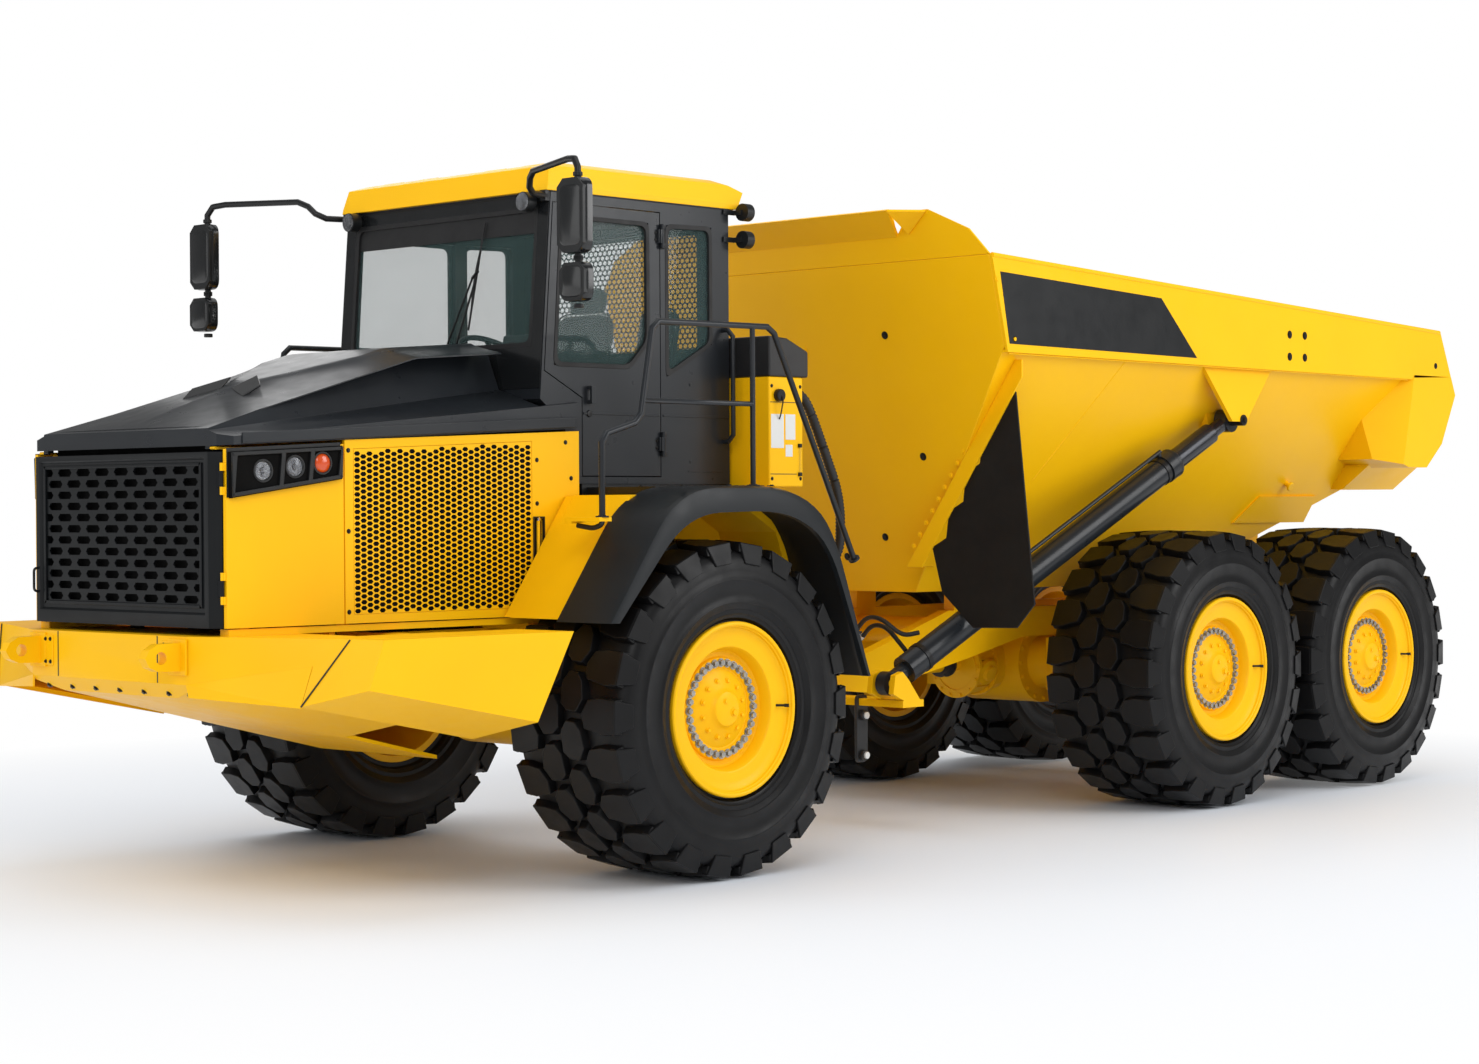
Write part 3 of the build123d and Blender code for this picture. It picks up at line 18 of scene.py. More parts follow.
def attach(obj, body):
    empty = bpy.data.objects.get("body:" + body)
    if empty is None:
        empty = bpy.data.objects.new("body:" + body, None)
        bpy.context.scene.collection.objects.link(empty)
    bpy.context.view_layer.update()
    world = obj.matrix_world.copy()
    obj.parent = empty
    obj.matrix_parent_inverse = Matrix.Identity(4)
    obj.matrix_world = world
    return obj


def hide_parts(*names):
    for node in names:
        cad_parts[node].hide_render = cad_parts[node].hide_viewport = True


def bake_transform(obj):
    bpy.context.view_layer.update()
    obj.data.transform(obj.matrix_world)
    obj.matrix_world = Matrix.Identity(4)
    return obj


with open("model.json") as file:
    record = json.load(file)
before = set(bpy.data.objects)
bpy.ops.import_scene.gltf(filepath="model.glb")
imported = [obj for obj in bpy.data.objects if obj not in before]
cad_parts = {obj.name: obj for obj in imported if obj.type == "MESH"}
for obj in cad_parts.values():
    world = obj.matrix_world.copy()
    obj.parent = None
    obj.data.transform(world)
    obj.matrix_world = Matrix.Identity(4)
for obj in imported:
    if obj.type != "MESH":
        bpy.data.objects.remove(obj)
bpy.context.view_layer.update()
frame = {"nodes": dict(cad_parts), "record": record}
LOG = logging.getLogger("hauler")
Point = tuple[float, float, float]
Flat = tuple[float, float]
Outline = tuple[Flat, ...]
Place = Callable[[float, float, float], Point]
Socket = bpy.types.NodeSocket


def joint_place(name: str) -> Vector:
    """Place of a joint of the frame.

    Args:
        name: the joint's name in the record.

    Returns:
        The joint's point in the frame's axes.
    """
    for joint in frame["record"]["behaviour"]["joints"]:
        if joint["name"] == name:
            return Vector(joint["pos_m"])
    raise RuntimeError(f"no joint named {name}")


FRONT_HUB = joint_place("wheel_front_left_spin")
MIDDLE_HUB = joint_place("wheel_middle_left_spin")
REAR_HUB = joint_place("wheel_rear_left_spin")
AXLE_Y = FRONT_HUB.y
LEFT, BACK, FRONT, UP = (1, 0, 0), (0, 1, 0), (0, -1, 0), (0, 0, 1)
FINE, SMALL = (0.001, 1), (0.003, 2)  # rounded edges: width and segments
SIDES = ((1, "left"), (-1, "right"))
CORNER_SHARE = 0.45  # most of an edge that a rounded corner may take up


def station(x: float, y: float, z: float) -> Vector:
    """Point given from the front axle, in the frame's axes."""
    return Vector((x, y + AXLE_Y, z))


# ---------------------------------------------------------------- finishes
class Body(Enum):
    """Rigid bodies that pieces ride on."""

    TRACTOR = "tractor"
    GRILLE = "grille"
    HOOD = "engine_hood"
    DOOR = "door"
    HITCH = "hitch"
    REAR = "rear"
    BIN = "bin"


class Graph:
    """Node graph of one material, with short calls for the nodes that the finishes use."""

    def __init__(self, name: str) -> None:
        """Make an empty material with its shader.

        Args:
            name: the material's name.
        """
        self.material = bpy.data.materials.new(name)
        self.material.use_nodes = True
        self.tree = self.material.node_tree
        self.shader = self.tree.nodes["Principled BSDF"]
        self.place = self.tree.nodes.new("ShaderNodeTexCoord").outputs["Object"]

    def node(self, kind: str, inputs: dict[str, object] | None = None, **settings: object) -> bpy.types.Node:
        """Add a node.

        Args:
            kind: the node's type.
            inputs: values or sources of its inputs.
            settings: values of its properties.

        Returns:
            The new node.
        """
        made = self.tree.nodes.new(kind)
        for key, value in settings.items():
            setattr(made, key, value)
        self.feed(made, inputs or {})
        return made

    def feed(self, node: bpy.types.Node, inputs: dict[str, object]) -> None:
        """Link or set a node's inputs.

        Args:
            node: Node to feed.
            inputs: A socket or a value for each input's name or number.
        """
        for key, value in inputs.items():
            if isinstance(value, Socket):
                self.join(value, node.inputs[key])
            else:
                node.inputs[key].default_value = value

    def join(self, source: Socket, target: Socket) -> None:
        """Link two sockets."""
        self.tree.links.new(source, target)

    def noise(self, scale: float, detail: float = 3.0, stretch: Point = (1, 1, 1)) -> Socket:
        """Noise over the object's own coordinates.

        Args:
            scale: cells in a metre.
            detail: octaves.
            stretch: scale along each axis.

        Returns:
            The noise's value.
        """
        mapping = self.node("ShaderNodeMapping", {"Scale": stretch, "Vector": self.place})
        way = mapping.outputs["Vector"]
        made = self.node("ShaderNodeTexNoise", {"Scale": scale, "Detail": detail, "Vector": way})
        return made.outputs["Fac"]

    def spread(self, source: Socket, low: float, high: float, start: float = 0.3,
               stop: float = 0.7) -> Socket:
        """Map a value from start..stop to low..high.

        Args:
            source: the value.
            low: result at start.
            high: result at stop.
            start: input that gives low.
            stop: input that gives high.

        Returns:
            The mapped value.
        """
        ends = {"From Min": start, "From Max": stop, "To Min": low, "To Max": high, "Value": source}
        return self.node("ShaderNodeMapRange", ends).outputs["Result"]

    def blend(self, amount: Socket, first: object, second: object) -> Socket:
        """Mix two colours.

        Args:
            amount: share of the second colour.
            first: colour or socket.
            second: colour or socket.

        Returns:
            The mixed colour.
        """
        made = self.node("ShaderNodeMix", data_type="RGBA")
        ends = [value if isinstance(value, Socket) else (*value, 1.0) for value in (first, second)]
        self.feed(made, {0: amount, 6: ends[0], 7: ends[1]})
        return made.outputs[2]

    def upward(self) -> Socket:
        """Find how far a surface faces up.

        Returns:
            Socket that runs from 0 on a wall to 1 on a deck.
        """
        normal = self.node("ShaderNodeNewGeometry").outputs["Normal"]
        parts = self.node("ShaderNodeSeparateXYZ", {"Vector": normal})
        return self.spread(parts.outputs["Z"], 0.0, 1.0, 0.15, 0.9)

    def times(self, first: Socket, second: Socket) -> Socket:
        """Product of two values."""
        return self.node("ShaderNodeMath", {0: first, 1: second}, operation="MULTIPLY").outputs["Value"]

    def bump(self, height: Socket, strength: float, distance: float) -> None:
        """Relief on the shader's normal.

        Args:
            height: the relief's value.
            strength: from 0 to 1.
            distance: its depth in metres.
        """
        made = self.node("ShaderNodeBump", {"Strength": strength, "Distance": distance, "Height": height})
        self.join(made.outputs["Normal"], self.shader.inputs["Normal"])


@dataclass(frozen=True)
class Finish:
    """One surface finish: colour in patches, smeared gloss, fine grain and settled dust.

    rough is the roughness of its clean and smeared parts; grain counts cells in a metre, depth is in
    metres and relief is the grain's strength; patch counts colour patches in a metre.
    """

    name: str
    slot: str
    colour: Point
    shade: Point
    rough: Flat = (0.35, 0.5)
    metal: float = 0.0
    coat: float = 0.0
    grain: float = 260.0
    depth: float = 0.0004
    relief: float = 0.15
    patch: float = 1.7
    dust: float = 0.0
    dust_colour: Point = (0.3, 0.25, 0.18)
    stretch: Point = (1, 1, 1)
    glow: float = 0.0
    gloss: float = 0.5

    def made(self) -> bpy.types.Material:
        """Build the material once and hand it out after that.

        Returns:
            The material.
        """
        if self.name in bpy.data.materials:
            return bpy.data.materials[self.name]
        graph = Graph(self.name)
        patches = graph.spread(graph.noise(self.patch, 4.0), 0.0, 1.0)
        colour = graph.blend(patches, self.colour, self.shade)
        if self.dust:
            up = graph.upward()
            drifts = graph.spread(graph.noise(5.0, 6.0), 0.0, self.dust, 0.35, 0.7)
            colour = graph.blend(graph.times(up, drifts), colour, self.dust_colour)
        smears = graph.noise(9.0, 5.0, self.stretch)
        graph.feed(graph.shader, {
            "Base Color": colour, "Roughness": graph.spread(smears, *self.rough), "Metallic": self.metal,
            "Specular IOR Level": self.gloss, "Coat Weight": self.coat, "Coat Roughness": 0.08})
        if self.glow:
            glow = {"Emission Color": (*self.colour, 1.0), "Emission Strength": self.glow}
            graph.feed(graph.shader, glow)
        graph.bump(graph.noise(self.grain, 2.0, self.stretch), self.relief, self.depth)
        return graph.material


@dataclass(frozen=True)
class Pane:
    """Clear or tinted glass."""

    name: str
    slot: str
    tint: Point
    rough: float = 0.02
    alpha: float = 0.45

    def made(self) -> bpy.types.Material:
        """Build the glass once and hand it out after that.

        Returns:
            The material.
        """
        if self.name in bpy.data.materials:
            return bpy.data.materials[self.name]
        graph = Graph(self.name)
        streaks = graph.spread(graph.noise(3.0, 5.0, (1, 1, 4)), 0.0, 1.0)
        shade = tuple(value * 0.85 for value in self.tint)
        graph.feed(graph.shader, {
            "Base Color": graph.blend(streaks, self.tint, shade),
            "Roughness": graph.spread(graph.noise(14.0, 5.0), self.rough, self.rough + 0.05),
            "IOR": 1.45, "Alpha": self.alpha})
        graph.material.surface_render_method = "BLENDED"
        return graph.material


YELLOW = Finish("yellow_enamel", "yellow_paint", (0.97, 0.53, 0.003), (0.94, 0.505, 0.003), (0.32, 0.42),
                coat=0.02, grain=420.0, depth=0.0002, relief=0.08, gloss=0.15)
SLATE = Finish("slate_enamel", "slate_paint", (0.016, 0.019, 0.023), (0.013, 0.015, 0.018), (0.27, 0.34),
               coat=0.06, grain=420.0, depth=0.0002, relief=0.03, gloss=0.35)
GRILLE_COAT = Finish("grille_coat", "slate_paint", (0.006, 0.0075, 0.009), (0.004, 0.005, 0.006),
                     (0.32, 0.42),
                     grain=420.0, depth=0.0002, relief=0.05, gloss=0.25)
CHASSIS = Finish("chassis_black", "black_paint", (0.018, 0.018, 0.019), (0.012, 0.012, 0.013), (0.38, 0.55),
                 coat=0.1, dust=0.05)
LABEL = Finish("blank_label", "black_paint", (0.78, 0.78, 0.76), (0.7, 0.7, 0.68), (0.4, 0.5), grain=600.0)
FRIT = Finish("gloss_black", "black_moulding", (0.01, 0.011, 0.012), (0.007, 0.008, 0.009), (0.16, 0.24),
              coat=0.2, grain=500.0, depth=0.0001, relief=0.04)
# Near-black and dull: paints deep shade behind openings and in gaps, over the real black of the lamp pods and
# the nose seal.
PAINTED_SHADE_BLACK = Finish("unlit_backing", "black_moulding", (0.004, 0.004, 0.004), (0.002, 0.002, 0.002), (0.75, 0.95),
              grain=300.0, gloss=0.1)
MOULDED = Finish("moulded_black", "black_moulding", (0.01, 0.011, 0.012), (0.007, 0.008, 0.009), (0.32, 0.42),
                 grain=700.0, relief=0.2, gloss=0.4)
ARCH = Finish("arch_moulding", "black_moulding", (0.013, 0.015, 0.017), (0.01, 0.012, 0.014), (0.34, 0.44),
              grain=700.0, relief=0.2, gloss=0.3)
SEAL = Finish("window_seal", "black_moulding", (0.01, 0.01, 0.011), (0.007, 0.007, 0.008), (0.5, 0.65),
              grain=900.0)
HOSE = Finish("hose_cover", "black_moulding", (0.014, 0.014, 0.015), (0.009, 0.009, 0.01), (0.45, 0.6),
              grain=900.0)
TREAD = Finish("tyre_tread", "tyre_rubber", (0.0065, 0.0065, 0.007), (0.004, 0.004, 0.0045), (0.34, 0.48),
               grain=520.0, depth=0.0006, relief=0.25, patch=7.0, gloss=0.25)
SHEET_RUBBER = Finish("sheet_rubber", "rubber_sheet", (0.01, 0.009, 0.008), (0.007, 0.006, 0.006), (0.5, 0.7),
                      grain=150.0, depth=0.001, relief=0.3, patch=4.0, gloss=0.3)
CASTING = Finish("dark_casting", "engine_castings", (0.04, 0.04, 0.042), (0.022, 0.022, 0.024), (0.5, 0.7),
                 metal=0.3, grain=180.0, depth=0.002, relief=0.5, patch=6.0)
ZINC = Finish("plated_bolt", "rod_chrome", (0.52, 0.5, 0.46), (0.36, 0.35, 0.33), (0.25, 0.42), metal=1.0,
              grain=900.0, depth=0.0003, relief=0.3, patch=40.0)
BLACK_BOLT = Finish("black_bolt", "black_paint", (0.02, 0.02, 0.021), (0.013, 0.013, 0.013), (0.3, 0.45),
                    metal=0.5, grain=900.0, depth=0.0003, relief=0.3, patch=40.0)
CHROME = Finish("polished_rod", "rod_chrome", (0.8, 0.8, 0.81), (0.72, 0.72, 0.74), (0.06, 0.12), metal=1.0,
                grain=300.0, depth=0.0001, relief=0.05, stretch=(1, 1, 30))
DARK_ROD = Finish("dark_rod", "rod_chrome", (0.05, 0.053, 0.06), (0.04, 0.042, 0.048), (0.16, 0.26),
                  metal=0.6, grain=300.0, depth=0.0001, relief=0.05)
CLOTH = Finish("seat_weave", "seat_cloth", (0.03, 0.03, 0.033), (0.018, 0.018, 0.02), (0.8, 0.95),
               grain=1400.0, depth=0.0012, relief=0.6, patch=30.0)
REFLECTOR = Finish("lamp_reflector", "lamp_parts", (0.34, 0.35, 0.37), (0.1, 0.1, 0.11), (0.04, 0.1),
                   metal=1.0, grain=130.0, depth=0.004, relief=0.9, patch=30.0)
AMBER = Finish("amber_lens", "lamp_parts", (0.62, 0.07, 0.006), (0.5, 0.05, 0.005), (0.1, 0.18), coat=0.6,
               grain=90.0, depth=0.003, relief=0.4, glow=0.05)
LENS = Pane("lamp_lens", "lamp_parts", (0.16, 0.17, 0.18), 0.02, 0.1)
WINDOW = Pane("cab_window", "window_glass", (0.1, 0.17, 0.165), 0.005, 0.19)


# ---------------------------------------------------------------- mesh work
@dataclass
class Solid:
    """A mesh under construction, in metres from the front axle; a body of None leaves it riding on no body.
    """

    name: str
    body: str | Body | None = Body.TRACTOR
    mesh: bmesh.types.BMesh = field(default_factory=bmesh.new)

    def ring(self, places: Iterable[Vector]) -> list[bmesh.types.BMVert]:
        """New vertices at places in the frame's axes."""
        return [self.mesh.verts.new(place) for place in places]

    def hoop(self, middle: Vector, side: Vector, other: Vector, radius: float,
             count: int) -> list[bmesh.types.BMVert]:
        """New vertices round a point.

        Args:
            middle: the point, in the frame's axes.
            side: one direction in the ring's plane.
            other: the direction square to it.
            radius: the ring's radius.
            count: number of vertices.

        Returns:
            The vertices in order.
        """
        return self.ring(middle + (side * a + other * b) * radius for a, b in circle(count))

    def sweep(self, rings: Sequence[list[bmesh.types.BMVert]], closed: bool = False) -> "Solid":
        """Join rings of vertices one after the other.

        Args:
            rings: rings of the same number of vertices.
            closed: whether the last ring joins the first; otherwise both are capped.

        Returns:
            This solid.
        """
        pairs = list(zip(rings, rings[1:])) + ([(rings[-1], rings[0])] if closed else [])
        for one, two in pairs:
            for k in range(len(one)):
                after = (k + 1) % len(one)
                self.mesh.faces.new((one[k], one[after], two[after], two[k]))
        for ring in () if closed else (rings[0], rings[-1]):
            self.mesh.faces.new(ring)
        return self

    def prism(self, outline: Sequence[Sequence[float]], along: Sequence[float]) -> "Solid":
        """Add a closed prism.

        Args:
            outline: corner points of one end, in order.
            along: the way to the other end.

        Returns:
            This solid.
        """
        near = [station(*p) for p in outline]
        return self.sweep([self.ring(near), self.ring(p + Vector(along) for p in near)])

    def block(self, low: Point, high: Point) -> "Solid":
        """Add a box between two corners."""
        outline = [(*corner, low[2]) for corner in rectangle(low[0], low[1], high[0], high[1])]
        return self.prism(outline, (0, 0, high[2] - low[2]))

    def bar(self, start: Point, end: Point, radius: float, sides: int = 24,
            tip: float | None = None) -> "Solid":
        """Add a round or many-sided bar.

        Args:
            start: middle of one end.
            end: middle of the other end.
            radius: radius at the start.
            sides: number of sides.
            tip: radius at the end, if it tapers.

        Returns:
            This solid.
        """
        a, b = station(*start), station(*end)
        axis = b - a
        turn = axis.to_track_quat("Z", "Y").to_matrix().to_4x4()
        place = Matrix.Translation((a + b) / 2) @ turn
        bmesh.ops.create_cone(self.mesh, cap_ends=True, segments=sides, radius1=radius,
                              radius2=radius if tip is None else tip, depth=axis.length, matrix=place)
        return self

    def lathe(self, profile: Sequence[Flat], centre: Point, axis: Point = LEFT, steps: int = 48,
              closed: bool = False) -> "Solid":
        """Add a turned shape.

        Args:
            profile: (distance along the axis, radius) points.
            centre: the point that distances are counted from.
            axis: the turning axis.
            steps: facets in the round.
            closed: whether the profile's ends join.

        Returns:
            This solid.
        """
        side, other, out = Vector(axis).to_track_quat("Z", "Y").to_matrix().transposed()
        middle = station(*centre)
        return self.sweep([self.hoop(middle + out * along, side, other, radius, steps)
                           for along, radius in profile], closed)

    def bolt(self, place: Point, axis: Point, radius: float = 0.012, height: float = 0.01) -> "Solid":
        """Add a hexagon head on its washer.

        Args:
            place: Centre of the seat.
            axis: Direction in which the head stands out.
            radius: Half the width over the head's corners.
            height: How far the head stands out.

        Returns:
            This solid.
        """
        out = Vector(axis).normalized()
        base = Vector(place)
        self.bar(base - out * 0.002, base + out * height * 0.25, radius * 1.45, 16)
        return self.bar(base, base + out * height, radius, 6)

    def bolts(self, places: Iterable[Point], axis: Point, radius: float, height: float) -> "Solid":
        """Add a bolt at each place.

        Args:
            places: Centres of the seats.
            axis: Direction in which the heads stand out.
            radius: Half the width over a head's corners.
            height: How far a head stands out.

        Returns:
            This solid.
        """
        for place in places:
            self.bolt(place, axis, radius, height)
        return self

    def tube(self, points: Sequence[Point], radius: float, bend: float = 0.05, sides: int = 14) -> "Solid":
        """Add a round tube along a route with rounded corners.

        Args:
            points: the route's corners.
            radius: the tube's radius.
            bend: how far each corner is rounded back.
            sides: facets round the tube.

        Returns:
            This solid.
        """
        route = rounded_route([station(*p) for p in points], bend)
        rings = []
        side = (route[1] - route[0]).normalized().orthogonal()
        for index, here in enumerate(route):
            ahead = (route[min(index + 1, len(route) - 1)] - route[max(index - 1, 0)]).normalized()
            side = (side - ahead * side.dot(ahead)).normalized()
            rings.append(self.hoop(here, side, ahead.cross(side), radius, sides))
        return self.sweep(rings)

    def perforated(self, outline: Sequence[Flat], holes: Iterable[Sequence[Flat]], place: Place,
                   depth: float) -> "Solid":
        """Add a flat sheet with holes through it.

        Args:
            outline: the sheet's corners.
            holes: corner lists of the holes.
            place: turns (across, up, in) into a point from the front axle.
            depth: the sheet's thickness.

        Returns:
            This solid.
        """
        sheet = bmesh.new()
        edges = []
        for loop in (outline, *holes):
            verts = [sheet.verts.new((a, b, 0.0)) for a, b in loop]
            edges += [sheet.edges.new((verts[i - 1], verts[i])) for i in range(len(verts))]
        bmesh.ops.triangle_fill(sheet, use_beauty=True, use_dissolve=False, edges=edges)
        sheet.verts.index_update()
        front, back = (self.ring(station(*place(v.co.x, v.co.y, inward)) for v in sheet.verts)
                       for inward in (0.0, depth))
        for face in sheet.faces:
            corners = [v.index for v in face.verts]
            self.mesh.faces.new([front[i] for i in corners])
            self.mesh.faces.new([back[i] for i in reversed(corners)])
        for edge in edges:
            i, j = edge.verts[0].index, edge.verts[1].index
            self.mesh.faces.new((front[i], front[j], back[j], back[i]))
        sheet.free()
        return self

    def mirrored(self) -> "Solid":
        """Add the mirror image on the machine's other side.

        Returns:
            This solid.
        """
        parts = self.mesh.verts[:] + self.mesh.edges[:] + self.mesh.faces[:]
        copy = bmesh.ops.duplicate(self.mesh, geom=parts)["geom"]
        for vert in (item for item in copy if isinstance(item, bmesh.types.BMVert)):
            vert.co.x = -vert.co.x
        faces = [item for item in copy if isinstance(item, bmesh.types.BMFace)]
        bmesh.ops.reverse_faces(self.mesh, faces=faces)
        return self

    def finished(self, finish: Finish | Pane, soften: float = 0.0, steps: int = 2, sharp: float = 32.0,
                 replaces: Sequence[str] = ()) -> bpy.types.Object:
        """Turn the mesh into a piece of the model.

        Args:
            finish: its surface.
            soften: width of its rounded edges.
            steps: segments across a rounded edge.
            sharp: edges above this many degrees stay crisp.
            replaces: CAD nodes that it stands for.

        Returns:
            The new object.
        """
        bmesh.ops.recalc_face_normals(self.mesh, faces=self.mesh.faces[:])
        piece = placed(self.name, self.mesh)
        dress(piece, finish, self.body, soften, steps, sharp)
        if replaces:
            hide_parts(*replaces)
        LOG.info("%s: %d faces", self.name, len(piece.data.polygons))
        return piece


def linked(name: str, data: bpy.types.ID) -> bpy.types.Object:
    """Put a mesh, light or camera into the scene.

    Args:
        name: the object's name.
        data: what it shows.

    Returns:
        The object.
    """
    made = bpy.data.objects.new(name, data)
    bpy.context.scene.collection.objects.link(made)
    return made


def placed(name: str, mesh: bmesh.types.BMesh) -> bpy.types.Object:
    """Turn a mesh under construction into an object of the scene, and free it.

    Args:
        name: Name of the new object.
        mesh: Mesh under construction.

    Returns:
        The new object.
    """
    data = bpy.data.meshes.new(name)
    mesh.to_mesh(data)
    mesh.free()
    return linked(name, data)


def circle(count: int, start: float = 0.0) -> list[Flat]:
    """Points spaced evenly round a circle of radius 1.

    Args:
        count: number of points.
        start: how many spaces the first point is turned on.

    Returns:
        The points in order.
    """
    angles = (2 * math.pi * (k + start) / count for k in range(count))
    return [(math.cos(a), math.sin(a)) for a in angles]


def clamped(value: float) -> float:
    """Value kept between 0 and 1."""
    return max(0.0, min(1.0, value))


def rectangle(a0: float, b0: float, a1: float, b1: float) -> list[Flat]:
    """Corners of a rectangle in order."""
    return [(a0, b0), (a1, b0), (a1, b1), (a0, b1)]


def upright(axis: int, at: float, outline: Sequence[Flat]) -> list[Point]:
    """Give a flat outline its third number.

    Args:
        axis: which number is added, 0 for x, 1 for y or 2 for z.
        at: its value.
        outline: the other two numbers of each corner.

    Returns:
        The corners in space.
    """
    return [tuple(corner[:axis]) + (at,) + tuple(corner[axis:]) for corner in outline]


def resampled(points: Sequence[Vector], count: int) -> list[tuple[Vector, Vector]]:
    """Space points evenly along a route.

    Args:
        points: the route.
        count: number of equal steps.

    Returns:
        Each point with the direction of the route there.
    """
    reach = [0.0]
    for a, b in zip(points, points[1:]):
        reach.append(reach[-1] + (b - a).length)
    result = []
    for k in range(count + 1):
        want = reach[-1] * k / count
        i = min(max(j for j in range(len(reach)) if reach[j] <= want + 1e-9), len(points) - 2)
        share = (want - reach[i]) / max(1e-9, reach[i + 1] - reach[i])
        way = (points[i + 1] - points[i]).normalized()
        result.append((points[i].lerp(points[i + 1], share), way))
    return result


def dress(piece: bpy.types.Object, finish: Finish | Pane, body: str | Body | None, soften: float, steps: int,
          sharp: float) -> None:
    """Give a piece its finish, its rounded edges and its body.

    Args:
        piece: the object.
        finish: its surface.
        body: the body it rides on.
        soften: width of its rounded edges.
        steps: segments across a rounded edge.
        sharp: edges above this many degrees stay crisp.
    """
    piece.data.materials.clear()
    piece.data.materials.append(finish.made())
    piece.data.shade_smooth()
    piece.data.set_sharp_from_angle(angle=math.radians(sharp))
    if soften:
        rounding = piece.modifiers.new("rounding", "BEVEL")
        rounding.width = soften
        rounding.segments = steps
        rounding.limit_method = "ANGLE"
        rounding.angle_limit = math.radians(sharp)
        rounding.harden_normals = True
    if body is not None:
        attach(piece, body.value if isinstance(body, Body) else body)


def corner_curve(before: Vector, corner: Vector, after: Vector, bend: float, steps: int) -> list[Vector]:
    """Short curve in place of a corner.

    Args:
        before: the point before the corner.
        corner: the corner.
        after: the point after it.
        bend: how far the corner is rounded back.
        steps: parts of the curve.

    Returns:
        The curve's points.
    """
    start, stop = (corner + (end - corner).normalized() * min(bend, (end - corner).length * CORNER_SHARE)
                   for end in (before, after))
    shares = (k / steps for k in range(steps + 1))
    return [start * (1 - t) ** 2 + corner * 2 * t * (1 - t) + stop * t ** 2 for t in shares]


def rounded_route(corners: Sequence[Vector], bend: float, steps: int = 5) -> list[Vector]:
    """Route with each corner replaced by a short curve.

    Args:
        corners: the route's corners.
        bend: how far each corner is rounded back.
        steps: parts of each curve.

    Returns:
        The rounded route's points.
    """
    route = [corners[0]]
    for before, corner, after in zip(corners, corners[1:], corners[2:]):
        route += corner_curve(before, corner, after, bend, steps)
    return route + [corners[-1]]


def softened(node: str, body: str | Body, finish: Finish | Pane, width: float = 0.008,
             steps: int = 2) -> bpy.types.Object:
    """Copy a CAD node, join its flat faces and round its edges.

    Args:
        node: the CAD node.
        body: the body it rides on.
        finish: its surface.
        width: width of its rounded edges.
        steps: segments across a rounded edge.

    Returns:
        The new object, which stands for the node.
    """
    mesh = bmesh.new()
    mesh.from_mesh(frame["nodes"][node].data)
    bmesh.ops.remove_doubles(mesh, verts=mesh.verts[:], dist=0.0001)
    bmesh.ops.dissolve_limit(mesh, angle_limit=math.radians(1.5), verts=mesh.verts[:], edges=mesh.edges[:])
    return Solid(f"{node}_shape", body, mesh).finished(finish, width, steps, 28, (node,))


def soften_all(body: Body, **nodes: tuple) -> None:
    """Soften CAD nodes of one body; a value holds a finish, then a width and segments as in softened()."""
    for node, (finish, *rounding) in nodes.items():
        softened(node, body, finish, *rounding)


